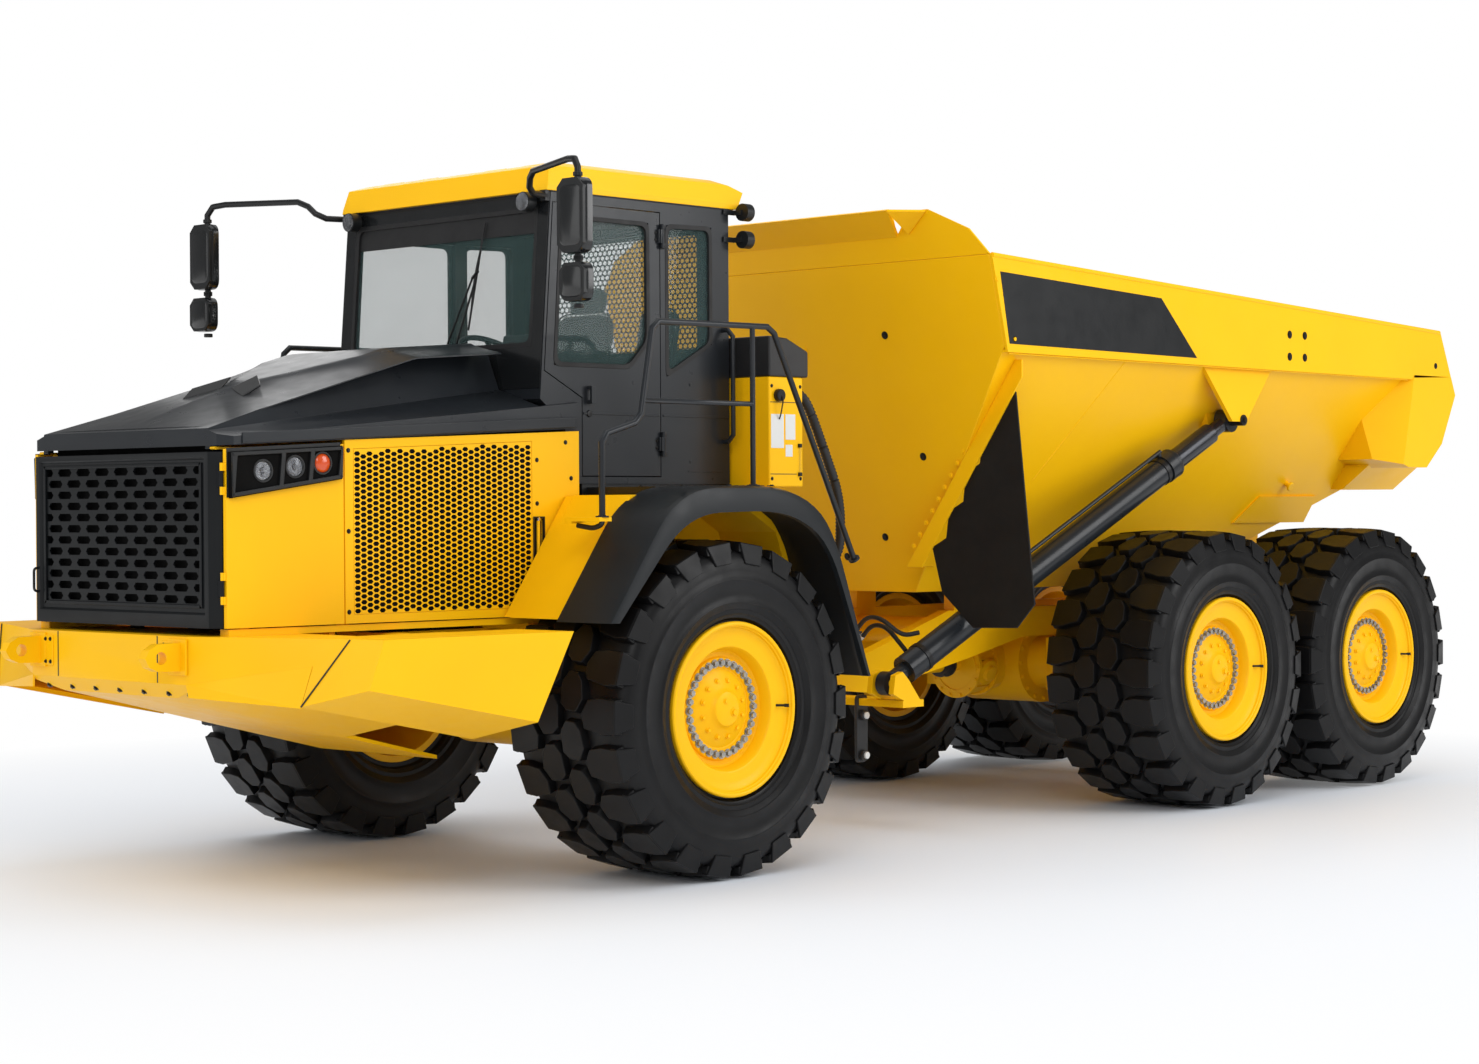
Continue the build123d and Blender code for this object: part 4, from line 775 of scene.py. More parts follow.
# ---------------------------------------------------------------- wheels
@dataclass
class Wheel:
    """One tyre with its tread, its rim, hub and studs.

    Profiles hold (distance out from the tyre's outer side, radius) points; block outlines hold
    (across, round) corners of one side of the tread.
    """

    name: str
    side: int
    hub: Vector
    width: float = 0.875
    radius: float = 0.93
    lugs: int = 22
    studs: int = 32
    sidewall: Outline = (
        (-0.06, 0.464), (-0.06, 0.488), (-0.048, 0.498), (-0.03, 0.502), (-0.022, 0.52), (-0.016, 0.524),
        (-0.016, 0.548), (-0.01, 0.552), (-0.004, 0.58), (0.001, 0.584), (0.001, 0.592), (-0.003, 0.596),
        (0.0, 0.64), (0.0, 0.7), (0.003, 0.704), (0.003, 0.712), (-0.001, 0.716), (-0.004, 0.76),
        (-0.012, 0.81), (-0.03, 0.848), (-0.062, 0.868), (-0.16, 0.878), (-0.3375, 0.884))
    inside: Outline = ((-0.13, 0.84), (-0.05, 0.64), (-0.09, 0.5))
    dish: Outline = (
        (-0.815, 0.4615), (-0.06, 0.4615), (-0.06, 0.48), (-0.03, 0.482), (-0.022, 0.476), (-0.02, 0.466),
        (-0.024, 0.458), (-0.036, 0.454), (-0.04, 0.448), (-0.054, 0.446), (-0.062, 0.436), (-0.074, 0.396),
        (-0.074, 0.354), (-0.078, 0.342), (-0.09, 0.334), (-0.148, 0.322), (-0.158, 0.31), (-0.158, 0.286),
        (-0.14, 0.28), (-0.138, 0.276), (-0.138, 0.228), (-0.15, 0.224), (-0.152, 0.215), (-0.142, 0.196),
        (-0.112, 0.12), (-0.1, 0.104), (-0.086, 0.094), (-0.08, 0.08), (-0.08, 0.0005), (-0.725, 0.0005),
        (-0.725, 0.19), (-0.215, 0.19), (-0.19, 0.33), (-0.12, 0.42), (-0.815, 0.42))
    shoulder_block: Outline = (
        (0.172, -0.022), (0.216, -0.094), (0.3, -0.108), (0.402, -0.098), (0.402, 0.084), (0.322, 0.09),
        (0.24, 0.068), (0.19, 0.058))
    centre_block: Outline = (
        (0.01, -0.058), (0.052, -0.112), (0.118, -0.106), (0.16, -0.058), (0.176, 0.036), (0.128, 0.104),
        (0.056, 0.098), (0.01, 0.062))
    wrap: Outline = ((-0.098, 0.914), (-0.07, 0.798), (0.052, 0.798), (0.084, 0.914))
    stud_ring: float = 0.252
    cover_ring: float = 0.158

    def middle(self) -> Point:
        """Hub's middle, from the front axle."""
        return (self.hub.x, self.hub.y - AXLE_Y, self.hub.z)

    def build(self) -> None:
        """Make the wheel's pieces."""
        body = f"wheel_{self.name}"
        self.carcass(body)
        self.tread(body)
        self.rim(body)
        self.hardware(body)

    def carcass(self, body: str) -> None:
        """Turn the tyre's casing with its sidewall ribs.

        Args:
            body: the wheel's body.
        """
        half = self.width / 2
        outer, inner = ([(half + d, r) for d, r in points] for points in (self.sidewall, self.inside))
        profile = outer + [(-x, r) for x, r in reversed(inner + outer)] + inner
        casing = Solid(f"tyre_casing_{self.name}", body).lathe(profile, self.middle(), steps=96, closed=True)
        casing.finished(TREAD, sharp=50, replaces=(f"tyre_{self.name}",))

    def crown(self, across: float) -> float:
        """Radius of the tread at a distance across."""
        return self.radius - 0.001 - 0.016 * max(0.0, (across - 0.1) / 0.33) ** 2

    def block_of(self, blocks: Solid, layers: Iterable[Iterable[Point]], angle: float, flip: int) -> None:
        """Add one tread block.

        Args:
            blocks: the mesh it goes to.
            layers: (across, turn, radius) corners of its top and of its foot.
            angle: its place round the tyre.
            flip: 1 or -1, the side of the tread.
        """
        hub = station(*self.middle())
        blocks.sweep([blocks.ring(
            hub + Vector((across * flip, radius * math.cos(angle + turn), radius * math.sin(angle + turn)))
            for across, turn, radius in layer) for layer in layers])

    def lug(self, outline: Sequence[Flat], low: float) -> list[list[Point]]:
        """Layers of a block of the tread's face.

        Args:
            outline: the corners of its top.
            low: radius of its foot, which is a little wider than its top.

        Returns:
            The corners of its top and of its foot.
        """
        mid_a, mid_b = (sum(corner[n] for corner in outline) / len(outline) for n in (0, 1))
        top = [(a, b / self.radius, self.crown(a)) for a, b in outline]
        foot = [(mid_a + (a - mid_a) * 1.1, (mid_b + (b - mid_b) * 1.14) / self.radius, low)
                for a, b in outline]
        return [top, foot]

    def tread(self, body: str) -> None:
        """Make four rows of staggered tread blocks, the outer ones wrapping onto the shoulder.

        Args:
            body: the wheel's body.
        """
        half = self.width / 2
        wraps = [[(face - (0.03 if r > 0.9 else 0.004), reach * ease / r, r) for reach, r in self.wrap]
                 for face, ease in ((half + 0.004, 1.0), (half - 0.04, 1.1))]
        shoulder, centre = self.lug(self.shoulder_block, 0.862), self.lug(self.centre_block, 0.876)
        blocks = Solid(f"tyre_tread_{self.name}", body)
        pitch = 2 * math.pi / self.lugs
        for step in range(self.lugs):
            for flip in (1, -1):
                angle = pitch * (step + (0.5 if flip < 0 else 0.0))
                for layers, turn in ((shoulder, 0.0), (centre, pitch * 0.5), (wraps, 0.0)):
                    self.block_of(blocks, layers, angle + turn, flip)
        blocks.finished(TREAD, 0.005, 2, replaces=(f"tyre_{self.name}",))

    def rim(self, body: str) -> None:
        """Turn the rim with its flange, dished disc and hub.

        Args:
            body: the wheel's body.
        """
        profile = [(self.width / 2 + d, r) for d, r in self.dish]
        dish = Solid(f"rim_{self.name}_dish", body)
        dish.lathe(profile, self.middle(), (self.side, 0, 0), 72, closed=True)
        dish.finished(YELLOW, 0.003, 2, 25, (f"rim_{self.name}",))

    def on_disc(self, inset: float, a: float, b: float) -> Point:
        """Point on the wheel's outer face, inset from the tyre's side and (a, b) from its middle."""
        x, y, z = self.middle()
        return (x + self.side * (self.width / 2 - inset), y + a, z + b)

    def hardware(self, body: str) -> None:
        """Add the stud ring, the hub's cover bolts, its plug and the valve.

        Args:
            body: the wheel's body.
        """
        out = (self.side, 0, 0)
        nuts = Solid(f"wheel_nuts_{self.name}", body)
        nuts.bolts([self.on_disc(0.138, self.stud_ring * a, self.stud_ring * b)
                    for a, b in circle(self.studs)],
                   out, 0.017, 0.022)
        nuts.finished(ZINC, sharp=30)
        cover = Solid(f"hub_cover_{self.name}", body)
        cover.bolts([self.on_disc(0.127, self.cover_ring * a, self.cover_ring * b)
                     for a, b in circle(12, 0.5)],
                    out, 0.011, 0.014)
        cover.bolt(self.on_disc(0.08, 0.045, -0.02), out, 0.018, 0.014)
        cover.bolt(self.on_disc(0.08, -0.02, 0.045), out, 0.012, 0.01)
        cover.finished(YELLOW, *FINE)
        valve = Solid(f"tyre_valve_{self.name}", body)
        valve.bar(self.on_disc(0.076, 0.378, 0), self.on_disc(0.031, 0.408, 0), 0.007, 12)
        valve.bar(self.on_disc(0.036, 0.404, 0), self.on_disc(0.014, 0.418, 0), 0.01, 12)
        valve.finished(BLACK_BOLT, *FINE)


# ---------------------------------------------------------------- nose
def hexagon(a: float, b: float, half_a: float, half_b: float, point: float = 0.5) -> list[Flat]:
    """Six-cornered hole, its points to the sides.

    Args:
        a: middle across.
        b: middle up.
        half_a: half its width.
        half_b: half its height.
        point: share of the half width that is level.

    Returns:
        Its corners.
    """
    flat = half_a * point
    return [(a - half_a, b), (a - flat, b - half_b), (a + flat, b - half_b), (a + half_a, b),
            (a + flat, b + half_b), (a - flat, b + half_b)]


@dataclass
class Nose:
    """Grille, engine side panels with their perforated fields, lamp pods and hood."""

    half: float = 0.87
    front: float = -2.65
    spread: float = 1.56
    field_front: float = -1.863
    field_rear: float = -0.645
    field_low: float = 1.485
    lamps: Outline = ((-2.44, 2.231), (-2.244, 2.253), (-2.073, 2.272))
    columns: int = 15
    rows: int = 56
    hole: Flat = (0.264, 0.77)
    bend: Flat = (-1.27, 2.852)
    slopes: Flat = (0.29, 0.077)
    crown_half: float = 0.69
    crown_rise: float = 0.062
    bezel: Outline = ((0, 0.06), (0.013, 0.06), (0.013, 0.05), (0.006, 0.047), (0, 0.047))
    turn_lens: Outline = ((0.006, 0.048), (0.012, 0.047), (0.018, 0.036), (0.021, 0.018),
                                   (0.022, 0.001))
    bowl: Outline = ((0.0062, 0.046), (0.0075, 0.03), (0.007, 0.017), (0.012, 0.014), (0.014, 0.001))
    lens: Outline = ((0.0145, 0.048), (0.019, 0.04), (0.021, 0.001))

    def swung(self, x: float, y: float, z: float, side: int = 1) -> Point:
        """Find a point on a side piece, swung outward about the nose's front corner.

        Args:
            x: Distance from the middle plane before the swing.
            y: Place along the machine.
            z: Height.
            side: 1 on the left, -1 on the right.

        Returns:
            The point.
        """
        turn = math.radians(-self.spread)
        dx, dy = x - self.half, y - self.front
        out_x = self.half + dx * math.cos(turn) - dy * math.sin(turn)
        return (side * out_x, self.front + dx * math.sin(turn) + dy * math.cos(turn), z)

    def on_panel(self, out: float, spots: Iterable[Flat], side: int = 1) -> list[Point]:
        """Points given by (along, up) that stand out from a side piece's face."""
        return [self.swung(self.half + out, y, z, side) for y, z in spots]

    def panel_place(self, out: float, side: int = 1) -> Place:
        """Placing on a side piece, starting out from its face."""
        return lambda a, b, d: self.swung(self.half + out - d, a, b, side)

    def field_top(self, y: float) -> float:
        """Top edge of the perforated field at a distance along the panel."""
        return 2.349 + (y - self.field_front) * 0.055 / (self.field_rear - self.field_front)

    def build(self) -> None:
        """Make the nose's pieces."""
        # The lamp pods take the near-black finish: their own black, deepened to paint the shade inside them
        # behind the lamps.
        soften_all(Body.TRACTOR, nose_panels=(YELLOW, 0.004), side_panels=(YELLOW, 0.004),
                   lamp_pods=(PAINTED_SHADE_BLACK, 0.004))
        softened("grille_door", Body.GRILLE, GRILLE_COAT, 0.002)
        softened("hood", Body.HOOD, SLATE, 0.014, 3)
        softened("radiator", Body.TRACTOR, CHASSIS, 0.006)
        for side, word in SIDES:
            self.side_field(side, word)
        self.hood_crown()
        self.lamp_frames()
        self.lamp_glass()
        self.grille_trim()
        self.panel_bolts()
        self.core_fins()

    def crown(self, x: float, y: float) -> float:
        """Height of the hood's pressed crown at a point of its top.

        The top climbs to a bend and then runs on nearly level. On it stands the pressing, whose middle (the
        plateau) is flat, widens to the rear and falls off in a curve to the sides.

        Args:
            x: across.
            y: along.

        Returns:
            The height.
        """
        bend_y, bend_z = self.bend
        steep, easy = self.slopes
        base = 2.452 + steep * (y - self.front) if y < bend_y else bend_z + easy * (y - bend_y)
        rise = self.crown_rise * clamped((y + 2.64) / 0.75) ** 0.8
        plateau = max(0.004, min(0.43, 0.7 * (y + 2.08)))
        out = clamped((abs(x) - plateau) / (self.crown_half - plateau))
        return base + 0.003 + rise * (1 - out ** 0.72) - 0.004 * out ** 6

    def hood_crown(self) -> None:
        """Press the hood's crown, its finger scoops, side bands and front seal, the seal painted near-black
        as the shade in the gap under the hood's front.
        """
        crown = Solid("hood_crown", Body.HOOD)
        rows = [-2.634 + k * 0.0335 for k in range(60)]
        columns = [-self.crown_half + k * 2 * self.crown_half / 48 for k in range(49)]
        top, low = ([crown.ring(station(x, y, self.crown(x, y) - sink) for x in columns) for y in rows]
                    for sink in (0.0, 0.006))
        for grid in (top, low):
            for one, two in zip(grid, grid[1:]):
                for i in range(len(columns) - 1):
                    crown.mesh.faces.new((one[i], one[i + 1], two[i + 1], two[i]))
        for upper, under in ((top[0], low[0]), (top[-1], low[-1]), *(
                ([row[i] for row in top], [row[i] for row in low]) for i in (0, -1))):
            for i in range(len(upper) - 1):
                crown.mesh.faces.new((upper[i], upper[i + 1], under[i + 1], under[i]))
        crown.finished(SLATE, sharp=35)
        scoops = Solid("hood_scoops", Body.HOOD)
        spots = ((0.05, -2.02, 0.002), (0.27, -2.11, 0.004), (0.31, -2.02, 0.036), (0.12, -1.9, 0.026))
        for sign, _ in SIDES:
            outline = [(sign * x, y, self.crown(x, y) + lift) for x, y, lift in spots]
            scoops.prism(outline, (0, 0, -0.012))
        scoops.finished(FRIT, *SMALL)
        y0, y1, z0, z1, climb = -2.56, -0.33, 2.366, 2.424, 0.118
        outline = [self.swung(self.half + 0.013, y, z)
                   for y, z in ((y0, z0), (y1, z0 + climb), (y1, z1 + climb), (y0, z1))]
        bands = Solid("hood_side_bands", Body.HOOD).prism([(x - 0.008, y, z) for x, y, z in outline],
                                                          (0.012, 0, 0))
        bands.mirrored().finished(SLATE, 0.004, 2)
        # A seal across the nose under the hood's front, painted near-black as the shade in the gap between
        # grille and hood.
        Solid("nose_seal").block((-0.73, -2.6, 2.262), (0.73, -2.585, 2.385)).finished(PAINTED_SHADE_BLACK, *SMALL)

    def lamp_frames(self) -> None:
        """Box each lamp in with the bezel's rim and slanting dividers."""
        outline = [(-2.631, 2.098), (-2.636, 2.322), (-1.95, 2.359), (-1.955, 2.194)]
        holes = []
        for y0, y1 in ((-2.612, -2.345), (-2.318, -2.165), (-2.138, -1.975)):
            low = [2.098 + (y + 2.631) * 0.142 + 0.02 for y in (y0, y1)]
            high = [2.322 + (y + 2.636) * 0.054 - 0.018 for y in (y0, y1)]
            holes.append([(y0 - 0.006, low[0]), (y1 - 0.006, low[1]), (y1 + 0.01, high[1]),
                          (y0 + 0.01, high[0])])
        frames = Solid("lamp_frames").perforated(outline, holes, self.panel_place(0.036), 0.015)
        frames.mirrored().finished(MOULDED, 0.003, 2, 40)
        outline = [(-2.648, 2.096), (-2.648, 2.344), (-1.948, 2.381), (-1.948, 2.357), (-2.634, 2.32),
                   (-2.63, 2.097)]
        infill = Solid("lamp_infills").prism(self.on_panel(0.0005, outline), (0.005, 0, 0))
        infill.mirrored().finished(MOULDED, *FINE)

    def side_field(self, side: int, word: str) -> None:
        """Add a perforated sheet and its near-black backing to one side panel; the backing paints the shade
        of the engine bay seen through the holes.

        Args:
            side: 1 on the left, -1 on the right.
            word: the side's name.
        """
        edge = 0.003
        y0, y1, z0 = self.field_front + edge, self.field_rear - edge, self.field_low + edge
        outline = [(y0, z0), (y1, z0), (y1, self.field_top(y1) - edge), (y0, self.field_top(y0) - edge)]
        pitch_y = (y1 - y0) / (self.columns + 0.1)
        pitch_z = (self.field_top(y0) - z0 - 0.01) / self.rows
        half_y, half_z = pitch_y * self.hole[0], pitch_z * self.hole[1]
        holes = []
        for row in range(self.rows + 4):
            b = z0 + pitch_z * (row + 1.0)
            for column in range(self.columns):
                a = y0 + pitch_y * (column + 0.29 + row % 2 / 2)
                if b + half_z + 0.003 < self.field_top(a) - edge:
                    holes.append(hexagon(a, b, half_y, half_z))
        sheet = Solid(f"side_screen_{word}")
        sheet.perforated(outline, holes, self.panel_place(-0.0015, side),
                         0.0025)
        sheet.finished(YELLOW, sharp=40)
        # Near-black sheet behind the holes: painted shade of the engine bay.
        back = Solid(f"side_screen_shade_backing_{word}")
        back.prism(self.on_panel(-0.0045, outline, side), (-side * 0.0012, 0, 0))
        back.finished(PAINTED_SHADE_BLACK, *FINE)

    def lamp_glass(self) -> None:
        """Fill the lamp pods: chrome bowls behind lenses, the rear lamp amber."""
        for side, word in SIDES:
            bowls, lenses, amber, rims = (Solid(f"{name}_{word}") for name in (
                "lamp_bowls", "lamp_lenses", "turn_lamp", "lamp_bezels"))
            for index, (y, z) in enumerate(self.lamps):
                axis = Vector(self.swung(1.0, y, z, side)) - Vector(self.swung(0.9, y, z, side))
                at = self.swung(self.half + 0.01, y, z, side)
                rims.lathe(self.bezel, at, axis, 40, True)
                turned = ((bowls, self.bowl), (lenses, self.lens))
                if index == 2:
                    turned = ((amber, self.turn_lens),)
                for solid, profile in turned:
                    solid.lathe(profile, at, axis, 40)
            bowls.finished(REFLECTOR, sharp=30)
            lenses.finished(LENS, sharp=60)
            amber.finished(AMBER, sharp=60)
            rims.finished(MOULDED, *FINE)
        spots = ((-2.622, 2.11), (-2.626, 2.312), (-1.963, 2.205), (-1.96, 2.35))
        trim = Solid("lamp_screws").bolts(self.on_panel(0.036, spots), LEFT, 0.006, 0.004)
        trim.mirrored().finished(MOULDED, 0.002, 2)

    def grille_trim(self) -> None:
        """Add the grille's handle, its inner lip and the near-black screen behind its slots, which paints the
        shade inside the nose.
        """
        y = self.front - 0.05
        outer, inner = (0.722, 1.538, 2.274), (0.702, 1.556, 2.258)
        lip = Solid("grille_lip", Body.GRILLE)
        for sign, _ in SIDES:
            corners = ((outer[0], outer[1]), (inner[0], inner[1]), (inner[0], inner[2]), (outer[0], outer[2]))
            lip.prism([(sign * x, y + 0.004, z) for x, z in corners], (0, 0.012, 0))
        for z0, z1 in ((outer[1], inner[1]), (inner[2], outer[2])):
            lip.block((-inner[0], y + 0.004, z0), (inner[0], y + 0.016, z1))
        lip.finished(GRILLE_COAT, *SMALL)
        route = ((y + 0.006, 1.6), (y - 0.03, 1.605), (y - 0.03, 1.725), (y + 0.006, 1.73))
        handle = Solid("grille_handle", Body.GRILLE).tube(upright(0, -0.765, route), 0.007, 0.02)
        handle.finished(BLACK_BOLT, sharp=40)
        # Near-black sheet behind the slots: painted shade inside the nose.
        screen = Solid("grille_shade_screen", Body.GRILLE).block((-0.715, -2.65, 1.545), (0.715, -2.646, 2.268))
        screen.finished(PAINTED_SHADE_BLACK, *FINE)

    def panel_bolts(self) -> None:
        """Add the side panels' bolts and the latch with its bezel."""
        spots = ((-0.61, 2.3), (-0.61, 2.06), (-0.61, 1.62), (-0.4, 2.4), (-0.4, 2.02), (-0.36, 2.2),
                 (-1.895, 1.5), (-1.895, 1.92), (-1.895, 2.34))
        ring = rectangle(self.field_rear + 0.004, 1.692, self.field_rear + 0.088, 1.988)
        gap = offset_outline(ring, 0.01)
        for side, word in SIDES:
            bolts = Solid(f"panel_bolts_{word}")
            bolts.bolts(self.on_panel(0, spots, side), (side, 0, 0), 0.009, 0.007)
            bolts.finished(BLACK_BOLT, *FINE)
            latch = Solid(f"panel_latch_{word}")
            latch.perforated(ring, [gap], self.panel_place(0.005, side),
                             0.014)
            latch.prism(self.on_panel(-0.0145, gap, side), (-side * 0.0012, 0, 0))
            latch.finished(MOULDED, 0.002, 2)
            bar = Solid(f"panel_latch_bar_{word}")
            for end in (1.702, 1.965):
                x, y, z = self.swung(self.half - 0.002, self.field_rear + 0.046, end, side)
                bar.bar((x, y, z), (x, y, z + 0.014), 0.013, 20)
            bar.finished(CHROME, *FINE)

    def core_fins(self) -> None:
        """Add upright fins to the radiator's front."""
        fins = Solid("radiator_fins")
        for step in range(60):
            x = -0.735 + step * 1.47 / 59
            fins.block((x - 0.003, -2.488, 1.5), (x + 0.003, -2.4805, 2.25))
        fins.finished(CHASSIS, sharp=30)


# ---------------------------------------------------------------- bumper
@dataclass
class Bumper:
    """Faceted bumper with its seams, corner sheets, plates and bolts."""

    front: float = -2.78

    def build(self) -> None:
        """Make the bumper's pieces."""
        softened("bumper", Body.TRACTOR, YELLOW, 0.01, 3)
        self.sheets()
        self.fittings()

    def sheets(self) -> None:
        """Add the front's seams, the corner sheets and the wings' split lines."""
        seams = Solid("bumper_seams")
        for x in (0.455, -0.455):
            seams.block((x - 0.004, self.front - 0.0015, 1.16), (x + 0.004, self.front + 0.004, 1.398))
        seams.finished(CHASSIS, sharp=30)
        outline = [(0.7, self.front - 0.001, 1.16), (0.714, self.front + 0.005, 1.094),
                   (1.379, -2.586, 1.06), (1.379, -2.5115, 1.264)]
        Solid("bumper_corner_sheets").prism(outline, (-0.003, 0.01, 0)).mirrored().finished(YELLOW, sharp=20)
        splits = Solid("bumper_wing_splits").bar((1.578, -2.4335, 1.396), (1.382, -2.585, 1.068), 0.0045, 8)
        splits.mirrored().finished(CHASSIS, sharp=40)

    def fittings(self) -> None:
        """Add the blank plates and the bolts."""
        plates = Solid("bumper_plates")
        for x0, x1, out, z0, z1 in ((0.5, 0.585, 0.007, 1.215, 1.375), (-0.585, -0.5, 0.007, 1.215, 1.375),
                                    (-0.715, -0.565, 0.012, 1.205, 1.388),
                                    (0.565, 0.715, 0.012, 1.205, 1.388)):
            plates.block((x0, self.front - out, z0), (x1, self.front + 0.002, z1))
        plates.finished(YELLOW, 0.004, 2)
        slope = Vector((0, -0.716, -0.698)).normalized()
        feet = [Vector((x, self.front + 0.052, 1.105)) - slope * 0.001
                for x in (-0.62, -0.4, -0.18, 0.04, 0.26, 0.48, 0.66)]
        bolts = Solid("bumper_bolts").bolts(feet, slope, 0.012, 0.012)
        bolts.bolts([(x, self.front - 0.007, z) for x in (-0.565, -0.52, 0.52, 0.565)
                     for z in (1.235, 1.355)],
                    FRONT, 0.008, 0.007)
        bolts.finished(BLACK_BOLT, *FINE)


# ---------------------------------------------------------------- studio
@dataclass
class Studio:
    """Pale floor, white surround, soft lights and the camera."""

    eye: Point = (12.2246, -10.8281, 2.034)
    azimuth: float = 43.678
    downward: float = 0.52
    roll: float = -0.333
    lens: float = 67.01
    floor_colour: Point = (0.8, 0.84, 0.9)
    fade: Flat = (3.6, 8.6)
    room_light: float = 0.78
    room_mirrored: float = 0.21
    boxes: tuple[tuple[str, Point, Point, float, float], ...] = (  # name, place, aim, size, watts
        ("key_box", (9.0, -8.0, 8.5), (0.5, 0.5, 1.6), 6.0, 400.0),
        ("side_box", (11.0, 7.0, 6.5), (0.5, 2.0, 1.8), 6.0, 480.0),
        ("front_box", (-4.5, -12.0, 6.0), (0.0, -1.5, 1.5), 6.0, 140.0),
        ("top_box", (0.0, 1.5, 12.0), (0.0, 1.5, 0.0), 10.0, 350.0),
        ("back_box", (-10.0, 8.0, 8.0), (0.0, 2.0, 1.5), 7.0, 220.0))

    def build(self) -> None:
        """Set up the studio, the lights and the camera."""
        self.floor()
        self.surround()
        self.lights()
        self.camera()
        bpy.context.scene.view_settings.view_transform = "Standard"

    def floor(self) -> None:
        """Lay a pale floor that turns into plain white away from the machine."""
        mesh = bmesh.new()
        bmesh.ops.create_circle(mesh, cap_ends=True, segments=96, radius=160.0)
        floor = placed("studio_floor", mesh)
        graph = Graph("studio_floor")
        graph.feed(graph.shader, {"Base Color": (*self.floor_colour, 1), "Roughness": 0.55,
                                  "Specular IOR Level": 0.25})
        white = graph.node("ShaderNodeEmission", {"Strength": 1.0})
        length = graph.node("ShaderNodeVectorMath", {0: graph.place}, operation="LENGTH")
        far = graph.spread(length.outputs["Value"], 0.0, 1.0, *self.fade)
        mixed = graph.node("ShaderNodeMixShader", {
            "Fac": far, 1: graph.shader.outputs["BSDF"], 2: white.outputs["Emission"]})
        graph.join(mixed.outputs["Shader"], graph.tree.nodes["Material Output"].inputs["Surface"])
        floor.data.materials.append(graph.material)

    def surround(self) -> None:
        """White to the eye, softer as a light and dim in reflections."""
        world = bpy.data.worlds.new("surround")
        bpy.context.scene.world = world
        world.use_nodes = True
        nodes, links = world.node_tree.nodes, world.node_tree.links
        back = nodes["Background"]
        back.inputs["Color"].default_value = (1, 1, 1, 1)
        rays = nodes.new("ShaderNodeLightPath")
        direct = nodes.new("ShaderNodeMath")
        direct.operation = "MAXIMUM"
        mirrored, level = (nodes.new("ShaderNodeMapRange") for _ in range(2))
        mirrored.inputs["To Min"].default_value = self.room_light
        mirrored.inputs["To Max"].default_value = self.room_mirrored
        level.inputs["To Max"].default_value = 1.0
        for source, target in (
            (rays.outputs["Is Camera Ray"], direct.inputs[0]),
            (rays.outputs["Is Transmission Ray"], direct.inputs[1]),
            (rays.outputs["Is Glossy Ray"], mirrored.inputs["Value"]),
            (direct.outputs["Value"], level.inputs["Value"]),
            (mirrored.outputs["Result"], level.inputs["To Min"]),
            (level.outputs["Result"], back.inputs["Strength"]),
        ):
            links.new(source, target)

    def lights(self) -> None:
        """Hang the soft boxes."""
        for name, place, aim, size, power in self.boxes:
            data = bpy.data.lights.new(name, "AREA")
            data.energy = power
            data.size = size
            lamp = linked(name, data)
            lamp.location = station(*place)
            lamp.rotation_euler = (station(*aim) - lamp.location).to_track_quat("-Z", "Y").to_euler()

    def camera(self) -> None:
        """Place the camera."""
        turn, fall, roll = (math.radians(v) for v in (self.azimuth, self.downward, self.roll))
        ahead = Vector((-math.sin(turn) * math.cos(fall), math.cos(turn) * math.cos(fall), -math.sin(fall)))
        right = ahead.cross(Vector(UP)).normalized()
        up = right.cross(ahead)
        side = right * math.cos(roll) + up * math.sin(roll)
        top = up * math.cos(roll) - right * math.sin(roll)
        data = bpy.data.cameras.new("camera")
        data.lens = self.lens
        data.sensor_width = 36.0
        data.clip_end = 500.0
        camera = linked("camera", data)
        axes = Matrix((side, top, -ahead)).transposed().to_4x4()
        camera.matrix_world = Matrix.Translation(station(*self.eye)) @ axes
        bpy.context.scene.camera = camera


# ---------------------------------------------------------------- cab
def offset_outline(outline: Sequence[Flat], amount: float) -> list[Flat]:
    """Move a flat outline inward.

    Args:
        outline: its corners in order.
        amount: how far; a negative amount moves it outward.

    Returns:
        The new corners.
    """
    corners = [Vector(corner) for corner in outline]
    area = sum(a.cross(b) for a, b in zip(corners, corners[1:] + corners[:1]))
    sign = 1 if area > 0 else -1
    moved = []
    for i, corner in enumerate(corners):
        ways = (corner - corners[i - 1], corners[(i + 1) % len(corners)] - corner)
        one, two = (Vector((-way.y, way.x)).normalized() * sign for way in ways)
        middle = (one + two).normalized()
        moved.append(tuple(corner + middle * amount / max(0.2, middle.dot(one))))
    return moved


def rounded_outline(outline: Sequence[Flat], radius: float, steps: int = 5) -> list[Flat]:
    """Round off the corners of an outline.

    Args:
        outline: Closed outline.
        radius: Radius at each corner.
        steps: Parts in each round.

    Returns:
        The new outline.
    """
    corners = [Vector(corner) for corner in outline]
    result = []
    for i, corner in enumerate(corners):
        result += corner_curve(corners[i - 1], corner, corners[(i + 1) % len(corners)], radius, steps)
    return [tuple(point) for point in result]


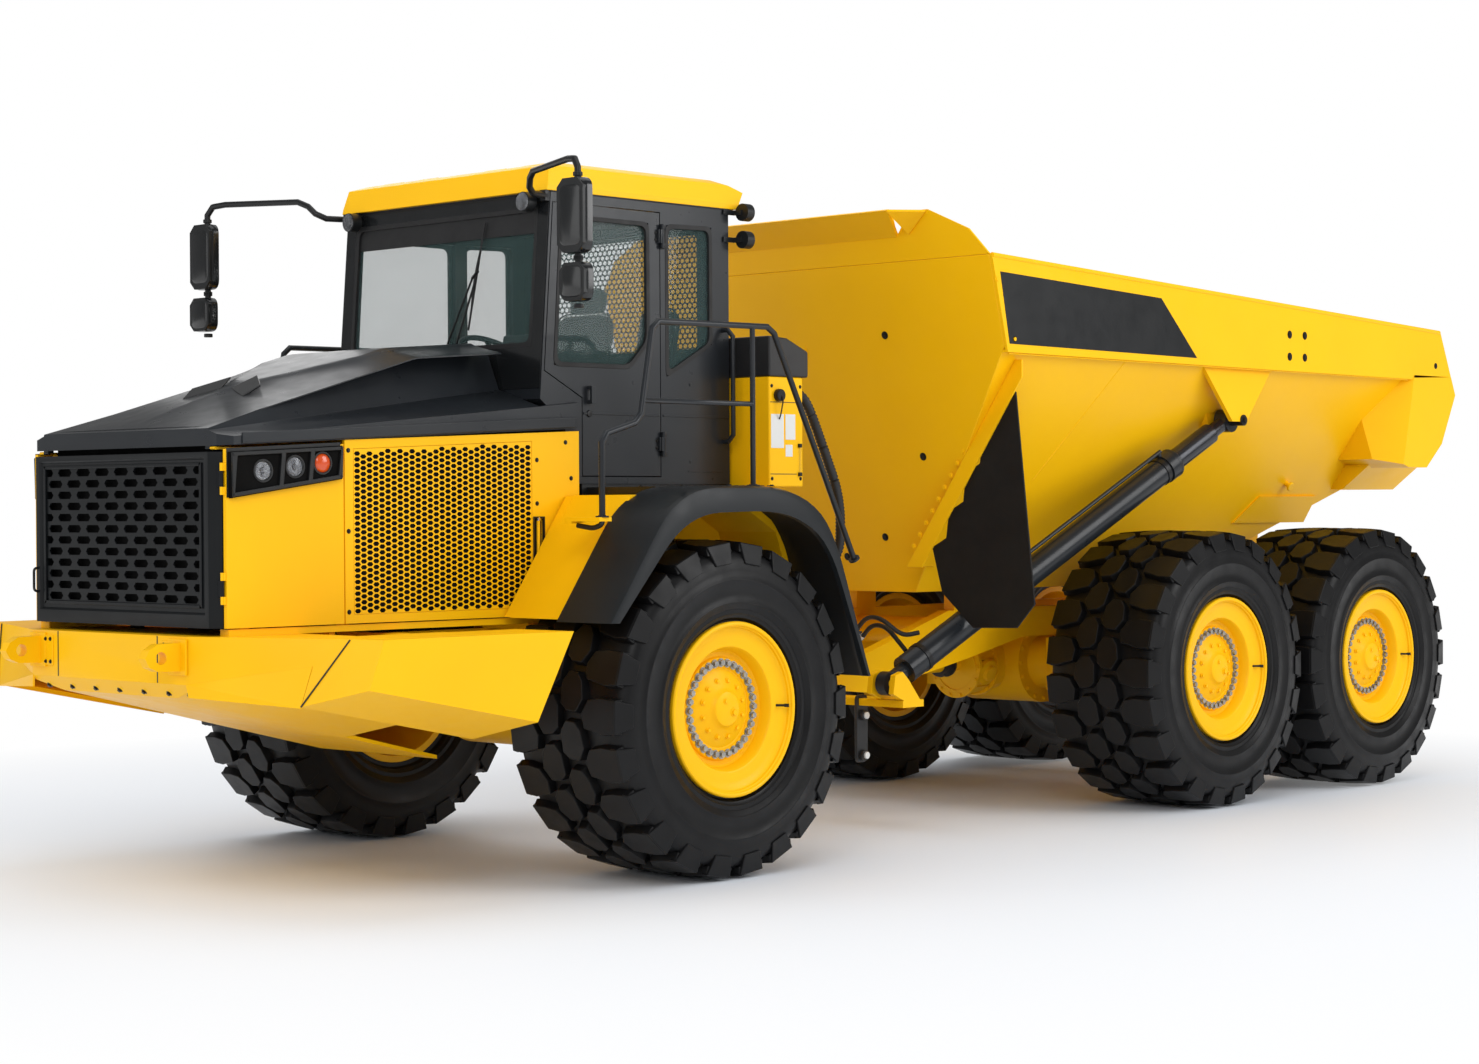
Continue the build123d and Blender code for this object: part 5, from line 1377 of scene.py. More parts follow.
@dataclass
class Cab:
    """Cab with its window seals, guards, wiper, lamps, mirrors and roof."""

    half: float = 0.9
    rear: float = 0.95
    screen: Flat = (2.93, 3.72)
    screen_half: float = 0.81
    door_pane: Outline = ((-0.455, 2.83), (-0.4, 3.67), (0.285, 3.67), (0.285, 2.985), (0.13, 2.83))
    right_pane: Outline = ((-0.44, 2.85), (-0.385, 3.67), (0.33, 3.67), (0.33, 2.85))
    quarter_pane: Outline = ((0.426, 3.67), (0.803, 3.68), (0.803, 2.99), (0.426, 2.79))
    rear_pane: Outline = ((-0.68, 2.96), (0.68, 2.96), (0.68, 3.69), (-0.68, 3.69))

    def front_y(self, z: float) -> float:
        """Outer face of the windscreen's plane at a height."""
        return -0.56 + 0.09 * (z - 2.64) / 1.16

    def build(self) -> None:
        """Make the cab's pieces."""
        softened("cab_shell", Body.TRACTOR, SLATE, 0.012, 3)
        softened("cab_door", Body.DOOR, SLATE, 0.006)
        softened("cab_glass", Body.TRACTOR, WINDOW, *FINE)
        softened("door_glass", Body.DOOR, WINDOW, *FINE)
        soften_all(Body.TRACTOR, cab_roof=(YELLOW, 0.022, 3), cab_base=(MOULDED, 0.006),
                   controls=(MOULDED, 0.01))
        for step in (self.seals, self.screen_border, self.guards, self.roof_trim, self.wiper, self.lamps,
                     self.mirror_heads, self.rails, self.door_trim, self.inside):
            step()

    def seal(self, name: str, outline: Sequence[Flat], place: Place, body: Body = Body.TRACTOR,
             width: float = 0.026, depth: float = 0.016) -> None:
        """Add a rubber frame round a window.

        Args:
            name: the piece's name.
            outline: the window's corners.
            place: turns (across, up, in) into a point from the front axle.
            body: the body it rides on.
            width: how far it reaches over the glass.
            depth: its thickness.
        """
        outer, inner = (rounded_outline(offset_outline(outline, inset), 0.05) for inset in (-0.006, width))
        Solid(name, body).perforated(outer, [inner], place, depth).finished(SEAL, 0.003, 2, 40)

    def on_screen(self, out: float) -> Place:
        """Placing on the windscreen's plane, starting out in front of its outer face."""
        return lambda a, b, d: (a, self.front_y(b) - out + d, b)

    def seals(self) -> None:
        """Frame every window in rubber."""
        front = rectangle(-self.screen_half, self.screen[0], self.screen_half, self.screen[1])
        half, rear = self.half, self.rear
        self.seal("windscreen_seal", front, self.on_screen(0.003), width=0.03, depth=0.02)
        self.seal("rear_window_seal", self.rear_pane, lambda a, b, d: (a, rear + 0.003 - d, b), width=0.024,
                  depth=0.02)
        self.seal("door_window_seal", self.door_pane, lambda a, b, d: (half + 0.004 - d, a, b), Body.DOOR,
                  0.02, 0.019)
        self.seal("right_window_seal", self.right_pane, lambda a, b, d: (d - half - 0.003, a, b))
        for sign, word in SIDES:
            self.seal(f"quarter_seal_{word}", self.quarter_pane,
                      lambda a, b, d, sign=sign: (sign * (half + 0.003 - d), a, b), width=0.02)

    def screen_border(self) -> None:
        """Print the windscreen's black border and tint its top."""
        half, (low, high) = self.screen_half, self.screen
        hole = rectangle(0.004 - half, low + 0.004, half - 0.004, high - 0.004)
        border = Solid("screen_border")
        border.perforated(rectangle(-0.894, 2.7, 0.894, 3.782), [hole], self.on_screen(0.0045), 0.004)
        border.finished(FRIT, *FINE)
        band = rectangle(0.028 - half, 3.57, half - 0.028, high - 0.028)
        tint = Solid("sun_band").prism([(x, self.front_y(z) + 0.012, z) for x, z in band], (0, 0.004, 0))
        tint.finished(SEAL, *FINE)

    def guards(self) -> None:
        """Add the open mesh guard over the rear window."""
        pitch_x, pitch_z = 0.0411, 0.0303
        spots = [(-0.658 + (column + row % 2 / 2) * pitch_x, 2.976 + row * pitch_z)
                 for row in range(24) for column in range(33 - row % 2)]
        holes = [hexagon(x, z, 0.0185, 0.0128, 0.52) for x, z in spots]
        guard = Solid("rear_window_guard").perforated(
            rectangle(-0.7, 2.94, 0.7, 3.705), holes, lambda a, b, d: (a, self.rear + 0.02 + d, b), 0.003)
        for x in (-0.69, 0.69):
            for z in (2.955, 3.69):
                guard.bar((x, self.rear - 0.002, z), (x, self.rear + 0.021, z), 0.009, 12)
        guard.finished(CHASSIS, sharp=40)

    def roof_trim(self) -> None:
        """Add the roof's front ribs, its gasket line and the beacon bracket."""
        ribs = Solid("roof_ribs")
        for x in (-0.62, -0.3, 0.3, 0.62):
            ribs.prism([(x - 0.11, -0.478, 3.91), (x + 0.11, -0.478, 3.91), (x + 0.09, -0.33, 3.952),
                        (x - 0.09, -0.33, 3.952)], (0, 0.001, 0.03))
        ribs.finished(YELLOW, 0.012, 3)
        outline = rectangle(-0.906, -0.478, 0.906, 0.958)
        gasket = Solid("roof_gasket")
        gasket.perforated(outline, [offset_outline(outline, 0.03)], lambda a, b, d: (a, b, 3.793 + d), 0.012)
        gasket.finished(SEAL, 0.002, 1)
        bracket = Solid("beacon_bracket")
        bracket.tube([(-0.6, 0.86, 3.9), (-0.6, 0.9, 3.985), (-0.6, 0.9, 4.045)], 0.012, 0.03)
        bracket.lathe([(0, 0.001), (0, 0.04), (0.012, 0.042), (0.014, 0.001)], (-0.6, 0.9, 4.04), UP,
                      32)
        bracket.finished(BLACK_BOLT, *FINE)

    def wiper(self) -> None:
        """Add the windscreen's linked wiper."""
        def on_glass(*spots: Point) -> list[Point]:
            """Points given by x, z and their distance out from the glass."""
            return [(x, self.front_y(z) + 0.012 - out, z) for x, z, out in spots]

        arms = Solid("wiper_arms")
        for x, top in ((0.085, 0.3), (0.165, 0.33)):
            arms.bar(*on_glass((x, 2.905, 0.0), (x, 2.905, 0.03)), 0.016, 20)
            arms.tube(on_glass((x, 2.905, 0.022), (x + 0.02, 2.98, 0.03), (top, 3.36, 0.03)), 0.006, 0.03)
        arms.bar(*on_glass((0.29, 3.345, 0.03), (0.34, 3.385, 0.03)), 0.008, 12)
        arms.finished(BLACK_BOLT, sharp=40)
        blade = Solid("wiper_blade").tube(on_glass((0.262, 3.05, 0.014), (0.358, 3.66, 0.014)), 0.006)
        blade.tube(on_glass((0.277, 3.15, 0.012), (0.3, 3.3, 0.026), (0.322, 3.42, 0.026),
                            (0.345, 3.56, 0.012)),
                   0.005, 0.04)
        blade.finished(SEAL, sharp=40)

    def lamps(self) -> None:
        """Glaze the work lamps under the roof and beside the rear pillars."""
        softened("work_lamps", Body.TRACTOR, MOULDED, 0.005)
        glass, bowls = Solid("work_lamp_lenses"), Solid("work_lamp_bowls")
        spots = [((0.775, -0.57, 3.74), FRONT, 0.05)]
        spots += [((self.half + 0.068, self.rear + 0.105, z), BACK, 0.047) for z in (3.78, 3.618)]
        for place, axis, r in spots:
            bowl = [(0.0005, r), (0.004, r), (0.004, r * 0.9), (0.002, r * 0.55), (0.002, 0.001)]
            bowls.lathe(bowl, place, axis, 32)
            lens = [(0.0045, r * 0.94), (0.01, r * 0.8), (0.013, r * 0.4), (0.0135, 0.001)]
            glass.lathe(lens, place, axis, 32)
        bowls.mirrored().finished(REFLECTOR, sharp=30)
        glass.mirrored().finished(LENS, sharp=60)

    def mirror_heads(self) -> None:
        """Back the mirrors with rounded housings and set their glass."""
        softened("mirrors", Body.TRACTOR, MOULDED, 0.022, 4)
        glass, rims, shells = Solid("mirror_glass"), Solid("mirror_clamps"), Solid("mirror_shells")
        for x, z, wide, tall in ((1.645, 3.566, 0.078, 0.168), (1.655, 3.218, 0.072, 0.074)):
            ring = rounded_outline(rectangle(x - wide, z - tall, x + wide, z + tall), 0.035)
            glass.prism(upright(1, -0.9505, ring), (0, 0.003, 0))
            for end in (-1, 1):
                clamp = [(1.645, -0.96, z + end * (tall + reach)) for reach in (0.04, 0.062)]
                rims.bar(*clamp, 0.026, 20)
        for x, z, wide, tall in ((1.645, 3.566, 0.103, 0.198), (1.655, 3.218, 0.098, 0.103)):
            ring = rounded_outline(rectangle(x - wide, z - tall, x + wide, z + tall), 0.062, 8)
            layers = ((-0.9515, 1.0), (-0.985, 1.0), (-1.004, 0.965), (-1.016, 0.88), (-1.023, 0.74))
            shells.sweep([shells.ring(station(x + (a - x) * share, y, z + (b - z) * share) for a, b in ring)
                          for y, share in layers])
        shells.mirrored().finished(FRIT, sharp=50)
        glass.mirrored().finished(CHROME, sharp=40)
        rims.mirrored().finished(MOULDED, *SMALL)

    def rails(self) -> None:
        """Give the handrails their feet, bolts and the bent foot tube."""
        softened("handrails", Body.TRACTOR, SLATE, 0.0)
        x, front, deck = 1.63, -0.785, 0.38
        feet = Solid("rail_feet").bar((x, front, 1.983), (x, front, 1.992), 0.036)
        feet.bar((x, deck, 2.148), (x, deck, 2.158), 0.038)
        feet.bar((x, 1.228, 1.733), (x, 1.236, 1.722), 0.034)
        feet.bolts(((1.654, front, 1.99), (1.606, front, 1.99), (1.656, deck, 2.156), (1.604, deck, 2.156)),
                   UP, 0.006, 0.006)
        feet.tube([(x, front, 1.99), (x, front, 1.945), (1.56, front, 1.925), (1.44, front, 1.94)], 0.014,
                  0.03)
        feet.mirrored().finished(SLATE, *FINE)

    def door_trim(self) -> None:
        """Add the door's fold line, lock, hinge bolts and the pillars' trim."""
        half = self.half
        trim = Solid("door_trim", Body.DOOR).prism(upright(0, half + 0.001,
                                                           rectangle(-0.235, 2.56, 0.37, 2.572)),
                                        (0.005, 0, 0))
        trim.finished(SLATE, 0.002, 2)
        lock = Solid("door_lock", Body.DOOR)
        lock.lathe([(0, 0.001), (0, 0.02), (0.008, 0.018), (0.01, 0.001)], (half, -0.19, 2.565), LEFT,
                   24)
        lock.bolts([(half, 0.345, z) for z in (2.38, 2.42, 3.58, 3.62)], LEFT, 0.008, 0.006)
        lock.finished(BLACK_BOLT, *FINE)
        side = Solid("pillar_trim").bolts([(half, 0.62, z) for z in (2.3, 2.75)], LEFT, 0.008, 0.005)
        side.block((half - 0.001, 0.395, 2.56), (half + 0.005, 0.94, 2.572))
        side.block((half - 0.001, 0.6, 2.24), (half + 0.004, 0.88, 2.246))
        side.mirrored().finished(SLATE, *FINE)

    def inside(self) -> None:
        """Add the dashboard's screen, pedals and levers."""
        panel = Solid("dash_screen")
        panel.prism([(0.33, -0.33, 2.87), (0.56, -0.33, 2.87), (0.56, -0.3, 3.02), (0.33, -0.3, 3.02)],
                    (0, -0.025, 0.004))
        panel.tube([(0.445, -0.34, 2.83), (0.445, -0.335, 2.89)], 0.014)
        panel.finished(MOULDED, 0.006, 2)
        levers = Solid("control_levers")
        knob = [(-0.03, 0.001), (-0.028, 0.018), (0.0, 0.026), (0.034, 0.02), (0.042, 0.001)]
        for x, y in ((-0.47, 0.12), (-0.42, 0.22)):
            levers.tube([(x, y, 2.695), (x, y - 0.01, 2.8)], 0.009)
            levers.lathe(knob, (x, y - 0.01, 2.82), UP, 24)
        for x in (0.08, 0.2):
            levers.prism([(x - 0.04, -0.15, 2.235), (x + 0.04, -0.15, 2.235), (x + 0.04, -0.19, 2.4),
                          (x - 0.04, -0.19, 2.4)], (0, -0.014, 0))
        levers.finished(SEAL, *SMALL)


# ---------------------------------------------------------------- seats
@dataclass
class Cushion:
    """One stuffed seat pad with piping and sewn channels."""

    name: str
    middle: Point
    size: Point
    lean: float = 0.0
    crown: float = 0.022
    channels: int = 3

    def at(self, u: float, v: float, w: float) -> Vector:
        """Point of the pad's rounded form; u, v and w run from -1 to 1.

        Args:
            u: across.
            v: along.
            w: through.

        Returns:
            The point in the frame's axes.
        """
        big = max(abs(u), abs(v), abs(w), 1e-6)
        norm = (abs(u) ** 5 + abs(v) ** 5 + abs(w) ** 5) ** 0.2
        u, v, w = (value * big / max(norm, 1e-6) for value in (u, v, w))
        x = u * self.size[0] / 2 * (1 - 0.035 * (1 - v * v))
        y = v * self.size[1] / 2 * (1 - 0.035 * (1 - u * u))
        z = w * self.size[2] / 2 + max(w, 0.0) * self.crown * (1 - u * u) * (1 - v * v)
        turned = Matrix.Rotation(math.radians(self.lean), 3, "X") @ Vector((x, y, z))
        return station(*self.middle) + turned

    def build(self) -> None:
        """Make the pad, puff it up and sew it."""
        mesh = bmesh.new()
        bmesh.ops.create_cube(mesh, size=2.0)
        bmesh.ops.subdivide_edges(mesh, edges=mesh.edges[:], cuts=9, use_grid_fill=True)
        for vert in mesh.verts:
            vert.co = self.at(*vert.co)
        bmesh.ops.recalc_face_normals(mesh, faces=mesh.faces[:])
        pad = placed(self.name, mesh)
        self.puff(pad)
        dress(pad, CLOTH, Body.TRACTOR, 0.0, 1, 60)
        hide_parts("seats")
        self.sewing()

    def puff(self, pad: bpy.types.Object, cap: float = 0.014) -> None:
        """Fill the pad by a short cloth run.

        Args:
            pad: the pad.
            cap: the farthest that a point may move.
        """
        voxels = pad.modifiers.new("voxels", "REMESH")
        voxels.mode = "VOXEL"
        voxels.voxel_size = 0.011
        self.settle(pad)
        before = [vert.co.copy() for vert in pad.data.vertices]
        cloth = pad.modifiers.new("cloth", "CLOTH")
        cloth.settings.use_pressure = True
        cloth.settings.uniform_pressure_force = 4.0
        cloth.settings.effector_weights.gravity = 0.0
        scene = bpy.context.scene
        for step in range(1, 16):
            scene.frame_set(step)
        self.settle(pad)
        scene.frame_set(1)
        for vert, old in zip(pad.data.vertices, before):
            move = vert.co - old
            if move.length > cap:
                vert.co = old + move.normalized() * cap

    def settle(self, pad: bpy.types.Object) -> None:
        """Keep what the pad's modifiers made of it and drop them.

        Args:
            pad: Padded piece.
        """
        graph = bpy.context.evaluated_depsgraph_get()
        pad.data = bpy.data.meshes.new_from_object(pad.evaluated_get(graph))
        pad.modifiers.clear()

    def sewing(self) -> None:
        """Add the piping round the pad's edge and its sewn channels."""
        thread = Solid(f"{self.name}_piping")
        origin, centre = station(0, 0, 0), Vector(self.middle)
        loop = []
        for u, v in circle(48) + [(1.0, 0.0)]:
            big = max(abs(u), abs(v))
            loop.append(centre + (self.at(u / big, v / big, 0.45) - origin - centre) * 1.012)
        thread.tube(loop, 0.005, 0.004, 8)
        lift = Vector((0, 0, 0.006)) - origin
        for k in range(self.channels):
            u = -0.55 + 1.1 * k / max(1, self.channels - 1)
            thread.tube([self.at(u, v / 10, 1.0) + lift for v in range(-8, 9, 2)], 0.004, 0.02, 8)
        thread.finished(SEAL, sharp=60, replaces=("seats",))


@dataclass
class Seats:
    """Driver's seat and the trainer's seat."""

    def build(self) -> None:
        """Make both seats."""
        for word, x, y, wide in (("driver", 0.0, 0.33, 0.52), ("trainer", 0.56, 0.42, 0.33)):
            stand = Solid(f"{word}_seat_frame").block((x - 0.15, y - 0.14, 2.215), (x + 0.15, y + 0.16, 2.3))
            for k in range(5):
                z = 2.305 + k * 0.045
                stand.block((x - 0.14, y - 0.13, z), (x + 0.14, y + 0.15, z + 0.03))
            stand.block((x - 0.12, y - 0.11, 2.29), (x + 0.12, y + 0.13, 2.54))
            stand.block((x - wide / 2 + 0.02, y - 0.21, 2.53), (x + wide / 2 - 0.02, y + 0.25, 2.566))
            stand.finished(MOULDED, 0.008, 2, replaces=("seats",))
            Cushion(f"{word}_seat_pad", (x, y + 0.005, 2.628), (wide - 0.02, 0.47, 0.11)).build()
            Cushion(f"{word}_seat_back", (x, y + 0.268, 2.95), (wide - 0.02, 0.54, 0.1), 81.0).build()
            if word == "driver":
                place, size = (x, y + 0.33, 3.285), (0.27, 0.15, 0.09)
                Cushion("driver_seat_headrest", place, size, 81.0, 0.012, 0).build()


# ---------------------------------------------------------------- decks and fenders
@dataclass
class Decks:
    """Fenders, service boxes behind the cab and the corrugated duct."""

    arch: Outline = ((-0.945, 1.43), (-0.43, 2.15), (0.47, 2.15), (0.8, 1.96), (1.135, 1.06))
    under: Outline = ((1.09, 1.06), (0.755, 1.85), (0.4, 2.015), (-0.37, 2.0), (-0.88, 1.43))
    near: float = 1.44
    far: float = 1.86
    skin: float = 0.035
    deck: float = 2.1495
    box_side: float = 1.2
    duct_rib: float = 0.011
    duct_radii: Flat = (0.026, 0.031)

    def build(self) -> None:
        """Make the decks' pieces."""
        self.fender()
        self.deck_top()
        soften_all(Body.TRACTOR, fender_liners=(YELLOW, 0.006), tank_boxes=(YELLOW, 0.012, 3),
                   tank_covers=(CHASSIS, 0.014, 3))
        self.box_trim()
        self.duct()

    def fender(self) -> None:
        """Sweep the fenders' rounded arches, deep over the wheel and open below."""
        def rounded(outline: Sequence[Flat], radius: float) -> list[Vector]:
            """Round off an open route along an outline, its ends left sharp, in even steps.

        Args:
            outline: Points of the route.
            radius: Radius at each corner.

        Returns:
            The new route.
        """
            inner = rounded_outline(outline, radius, 10)[11:-11]
            route = [Vector(point) for point in (outline[0], *inner, outline[-1])]
            return [point for point, _ in resampled(route, 44)]

        skin, near, far = self.skin, self.near, self.far
        arch = Solid("fender_arches")
        rings = []
        for t, b in zip(rounded(self.arch, 0.3), rounded(self.under[::-1], 0.26)):
            way = (b - t).normalized()
            inner = t + way * skin
            section = [(near, t), (far - 0.045, t), (far - 0.012, t + way * 0.012), (far, t + way * 0.045),
                       (far, b),
                       (far - skin, b), (far - skin, inner + way * 0.02), (far - 0.08, inner), (near, inner)]
            rings.append(arch.ring(station(x, *p) for x, p in section))
        arch.sweep(rings)
        arch.mirrored().finished(ARCH, 0.004, 2, 40, ("fenders",))

    def deck_top(self) -> None:
        """Bolt the fenders down and stud their tops against slipping."""
        spots = [(x, y, self.deck) for y in (-0.35, 0.0, 0.35) for x in (1.48, 1.8)]
        Solid("fender_bolts").bolts(spots, UP, 0.011, 0.008).mirrored().finished(BLACK_BOLT, *FINE)
        mats = Solid("deck_tread")
        for row in range(14):
            for column in range(9):
                x, y = 1.5 + column * 0.036, -0.33 + row * 0.052 + (column % 2) * 0.026
                mats.bar((x, y, self.deck), (x, y, self.deck + 0.004), 0.008, 8, 0.005)
        mats.mirrored().finished(MOULDED, sharp=40)

    def box_trim(self) -> None:
        """Add the boxes' cap, sight glass, bolts, seams and blank labels."""
        x, face = self.box_side, self.box_side + 0.0005
        labels = Solid("blank_labels")
        for y0, z0, y1, z1 in ((0.99, 2.38, 1.1, 2.58), (1.115, 2.43, 1.2, 2.58), (1.115, 2.33, 1.175, 2.4)):
            labels.block((x - 0.0005, y0, z0), (x + 0.0015, y1, z1))
        labels.finished(LABEL, 0.0005, 1)
        hardware = Solid("box_hardware")
        hardware.bolts([(x, y, z) for z in (2.2, 2.745) for y in (0.998, 1.245)], LEFT, 0.008, 0.006)
        hardware.lathe([(0, 0.001), (0, 0.036), (0.01, 0.038), (0.03, 0.036), (0.034, 0.03), (0.034, 0.001)],
                       (x, 1.05, 2.69), LEFT, 32)
        hardware.tube([(1.23, 1.05, 2.69), (1.245, 1.05, 2.66), (1.225, 1.05, 2.58), (1.203, 1.06, 2.55)],
                      0.004, 0.02)
        for z0 in (2.215, 2.385):
            hardware.block((x - 0.0005, 1.222, z0), (x + 0.014, 1.246, z0 + 0.022))
        hardware.mirrored().finished(BLACK_BOLT, 0.002, 2)
        glass = Solid("level_gauge").bar((1.208, 1.234, 2.232), (1.208, 1.234, 2.388), 0.008, 20)
        glass.mirrored().finished(LENS, sharp=40)
        seams = Solid("box_seams")
        for y1, z0 in ((1.21, 2.225), (1.262, 2.648)):
            seams.prism(upright(0, face, rectangle(0.985, z0, y1, z0 + 0.004)), (0.0012, 0, 0))
        seams.mirrored().finished(CHASSIS, sharp=40)

    def duct(self) -> None:
        """Run the corrugated ducts from behind the boxes down to the frame."""
        corners = [(1.15, 1.262, 2.72), (1.195, 1.31, 2.66), (1.21, 1.43, 2.4), (1.21, 1.59, 2.08),
                   (1.15, 1.65, 1.7), (0.76, 1.42, 1.44), (0.45, 1.255, 1.335)]
        route = rounded_route([station(*p) for p in corners], 0.16, 12)
        reach = sum((b - a).length for a, b in zip(route, route[1:]))
        ribbed = Solid("ribbed_ducts")
        rings = []
        last = Vector()
        for k, (here, ahead) in enumerate(resampled(route, int(reach / self.duct_rib))):
            side = ahead.cross(Vector(UP) if abs(ahead.z) < 0.9 else Vector(LEFT)).normalized()
            last = -side if side.dot(last) < 0 else side
            rings.append(ribbed.hoop(here, last, ahead.cross(last), self.duct_radii[k % 2], 16))
        ribbed.sweep(rings).finished(HOSE, sharp=60)


# ---------------------------------------------------------------- rear frame and hitch
@dataclass
class Chassis:
    """Front and rear frames, hitch, axles and the hoses between them."""

    axle_z: float = 0.93
    bowl: float = 0.262
    case: Point = (0.0, 4.275, 0.91)
    case_radius: float = 0.19

    def build(self) -> None:
        """Make the chassis pieces."""
        soften_all(Body.TRACTOR, front_frame=(YELLOW, 0.006), front_axle=(YELLOW, 0.01),
                   engine_block=(CASTING, 0.014))
        softened("hitch", Body.HITCH, YELLOW, 0.008)
        soften_all(Body.REAR, rear_frame=(YELLOW, 0.008), rear_axles=(YELLOW, 0.012),
                   walking_beams=(YELLOW, 0.014, 3))
        self.bolts()
        self.hoses()
        self.engine()
        self.links()
        self.case_castings()

    def bolts(self) -> None:
        """Ring the axle bowls, hubs and pins with bolts."""
        axles = (("front", 0.0, Body.TRACTOR), ("middle", 4.77, Body.REAR), ("rear", 6.72, Body.REAR))
        for word, y, body in axles:
            ring = Solid(f"{word}_axle_bolts", body)
            for sign, _ in SIDES:
                spots = [(sign * 0.305, y + self.bowl * a, self.axle_z + self.bowl * b)
                         for a, b in circle(16)]
                ring.bolts(spots, (sign, 0, 0), 0.013, 0.014)
            plug = [(0, 0.03), (0.02, 0.03), (0.026, 0.024), (0.026, 0.001), (0, 0.001)]
            ring.lathe(plug, (0.18, y - 0.27, self.axle_z), FRONT, 24)
            ring.finished(YELLOW, *FINE)
        pins = Solid("steering_pin_bolts")
        pins.bolts([(0.068 * a, 1.6 + 0.068 * b, 1.235) for a, b in circle(8)], UP, 0.011, 0.012)
        pins.finished(YELLOW, *FINE)
        ring = Solid("roll_ring_bolts", Body.REAR)
        ring.bolts([(0.228 * a, 2.17, 0.91 + 0.228 * b) for a, b in circle(18)], BACK, 0.013, 0.014)
        ring.finished(YELLOW, *FINE)
        shaft = Solid("shaft_joints", Body.REAR)
        for y in (2.78, 4.02, 5.12, 6.36):
            shaft.lathe([(-0.05, 0.056), (-0.05, 0.086), (-0.03, 0.09), (-0.03, 0.076), (0.03, 0.076),
                         (0.03, 0.09),
                         (0.05, 0.086), (0.05, 0.056)], (0, y, self.axle_z), BACK, 24, True)
        shaft.finished(CASTING, 0.002, 1)

    def case_castings(self) -> None:
        """Flange, rib and cap the gear case ahead of the middle axle."""
        x, middle, z = self.case
        case = Solid("gear_case_castings", Body.REAR)
        for y, out in ((4.166, 0.222), (4.38, 0.214)):
            case.lathe([(-0.013, 0.165), (-0.013, out), (0.013, out), (0.013, 0.165)], (x, y, z), BACK,
                       44, True)
            ring = out - 0.018
            case.bolts([(x + ring * a, y - 0.013, z + ring * b) for a, b in circle(14)], FRONT, 0.012,
                       0.012)
        outline = [(y, self.case_radius + lift)
                   for y, lift in ((4.175, -0.012), (4.175, 0.024), (4.345, 0.01), (4.375, -0.012))]
        for a, b in circle(12, 0.5):
            side = Vector((-b, 0, a)) * 0.007
            case.prism([Vector((x + a * r, y, z + b * r)) - side for y, r in outline], side * 2)
        cap = [(0, 0.095), (0.03, 0.092), (0.036, 0.08), (0.036, 0.058), (0.058, 0.05), (0.06, 0.001),
               (0, 0.001)]
        for sign, _ in SIDES:
            case.lathe(cap, (sign * 0.172, middle, z - 0.035), (sign, 0, -0.35), 32)
        case.finished(YELLOW, *SMALL)

    def hoses(self) -> None:
        """Run the hydraulic hoses at the hitch and at the tipping cylinders."""
        for sign, word in SIDES:
            for index, lift in enumerate((0.0, 0.06)):
                for stretch, route, bodies, start, end in (
                    ("front", [(0.22, 1.28, 1.25), (0.22, 1.42, 1.29), (0.17, 1.6, 1.4), (0.16, 1.8, 1.3)],
                     (Body.TRACTOR, Body.HITCH), (0.2, 1.38, 1.26), (0.16, 1.76, 1.32)),
                    ("rear", [(0.16, 1.84, 1.28), (0.17, 2.06, 1.24), (0.2, 2.3, 1.17), (0.2, 2.46, 1.09)],
                     (Body.HITCH, Body.REAR), (0.16, 1.92, 1.27), (0.2, 2.36, 1.14)),
                ):
                    hose = Solid(f"hitch_hose_{stretch}_{word}_{index}", None)
                    hose.tube([(sign * x, y, z + lift) for x, y, z in route], 0.019, 0.12, 12)
                    piece = hose.finished(HOSE, sharp=60)
                    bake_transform(piece)
            clamp = Solid(f"hose_clamp_{word}", Body.HITCH)
            clamp.block((sign * 0.125, 1.79, 1.255), (sign * 0.195, 1.85, 1.385))
            clamp.block((sign * 0.105, 1.8, 1.07), (sign * 0.135, 1.84, 1.27))
            clamp.finished(CHASSIS, 0.004, 2)
            ends = Solid(f"hose_fittings_{word}")
            for lift in (0.0, 0.06):
                ends.bar((sign * 0.22, 1.275, 1.25 + lift), (sign * 0.22, 1.345, 1.268 + lift), 0.025, 6)
            ends.finished(CHROME, *FINE)
            self.feed(sign, word)

    def feed(self, sign: int, word: str) -> None:
        """Run two hoses to one tipping cylinder's foot.

        Args:
            sign: 1 on the left, -1 on the right.
            word: the side's name.
        """
        feed, caps = Solid(f"tipping_hoses_{word}", None), Solid(f"tipping_hose_ends_{word}", Body.REAR)
        for route in (
            ((0.56, 2.44, 1.21), (0.7, 2.4, 1.33), (0.86, 2.36, 1.33), (0.985, 2.42, 1.215),
             (1.04, 2.52, 1.235)),
            ((0.56, 2.5, 1.17), (0.69, 2.47, 1.28), (0.84, 2.44, 1.27), (0.96, 2.45, 1.15),
             (1.01, 2.43, 1.12)),
        ):
            feed.tube([(sign * x, y, z) for x, y, z in route], 0.015, 0.1, 12)
        piece = feed.finished(HOSE, sharp=60)
        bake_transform(piece)
        for y0, z0, y1 in ((2.44, 1.195, 2.425), (2.5, 1.155, 2.49)):
            caps.bar((sign * 0.52, y0, z0), (sign * 0.6, y1, z0 + 0.05), 0.021, 6)
        caps.block((sign * 0.48, 2.38, 1.1), (sign * 0.53, 2.56, 1.23))
        caps.finished(CHROME, 0.002, 1)

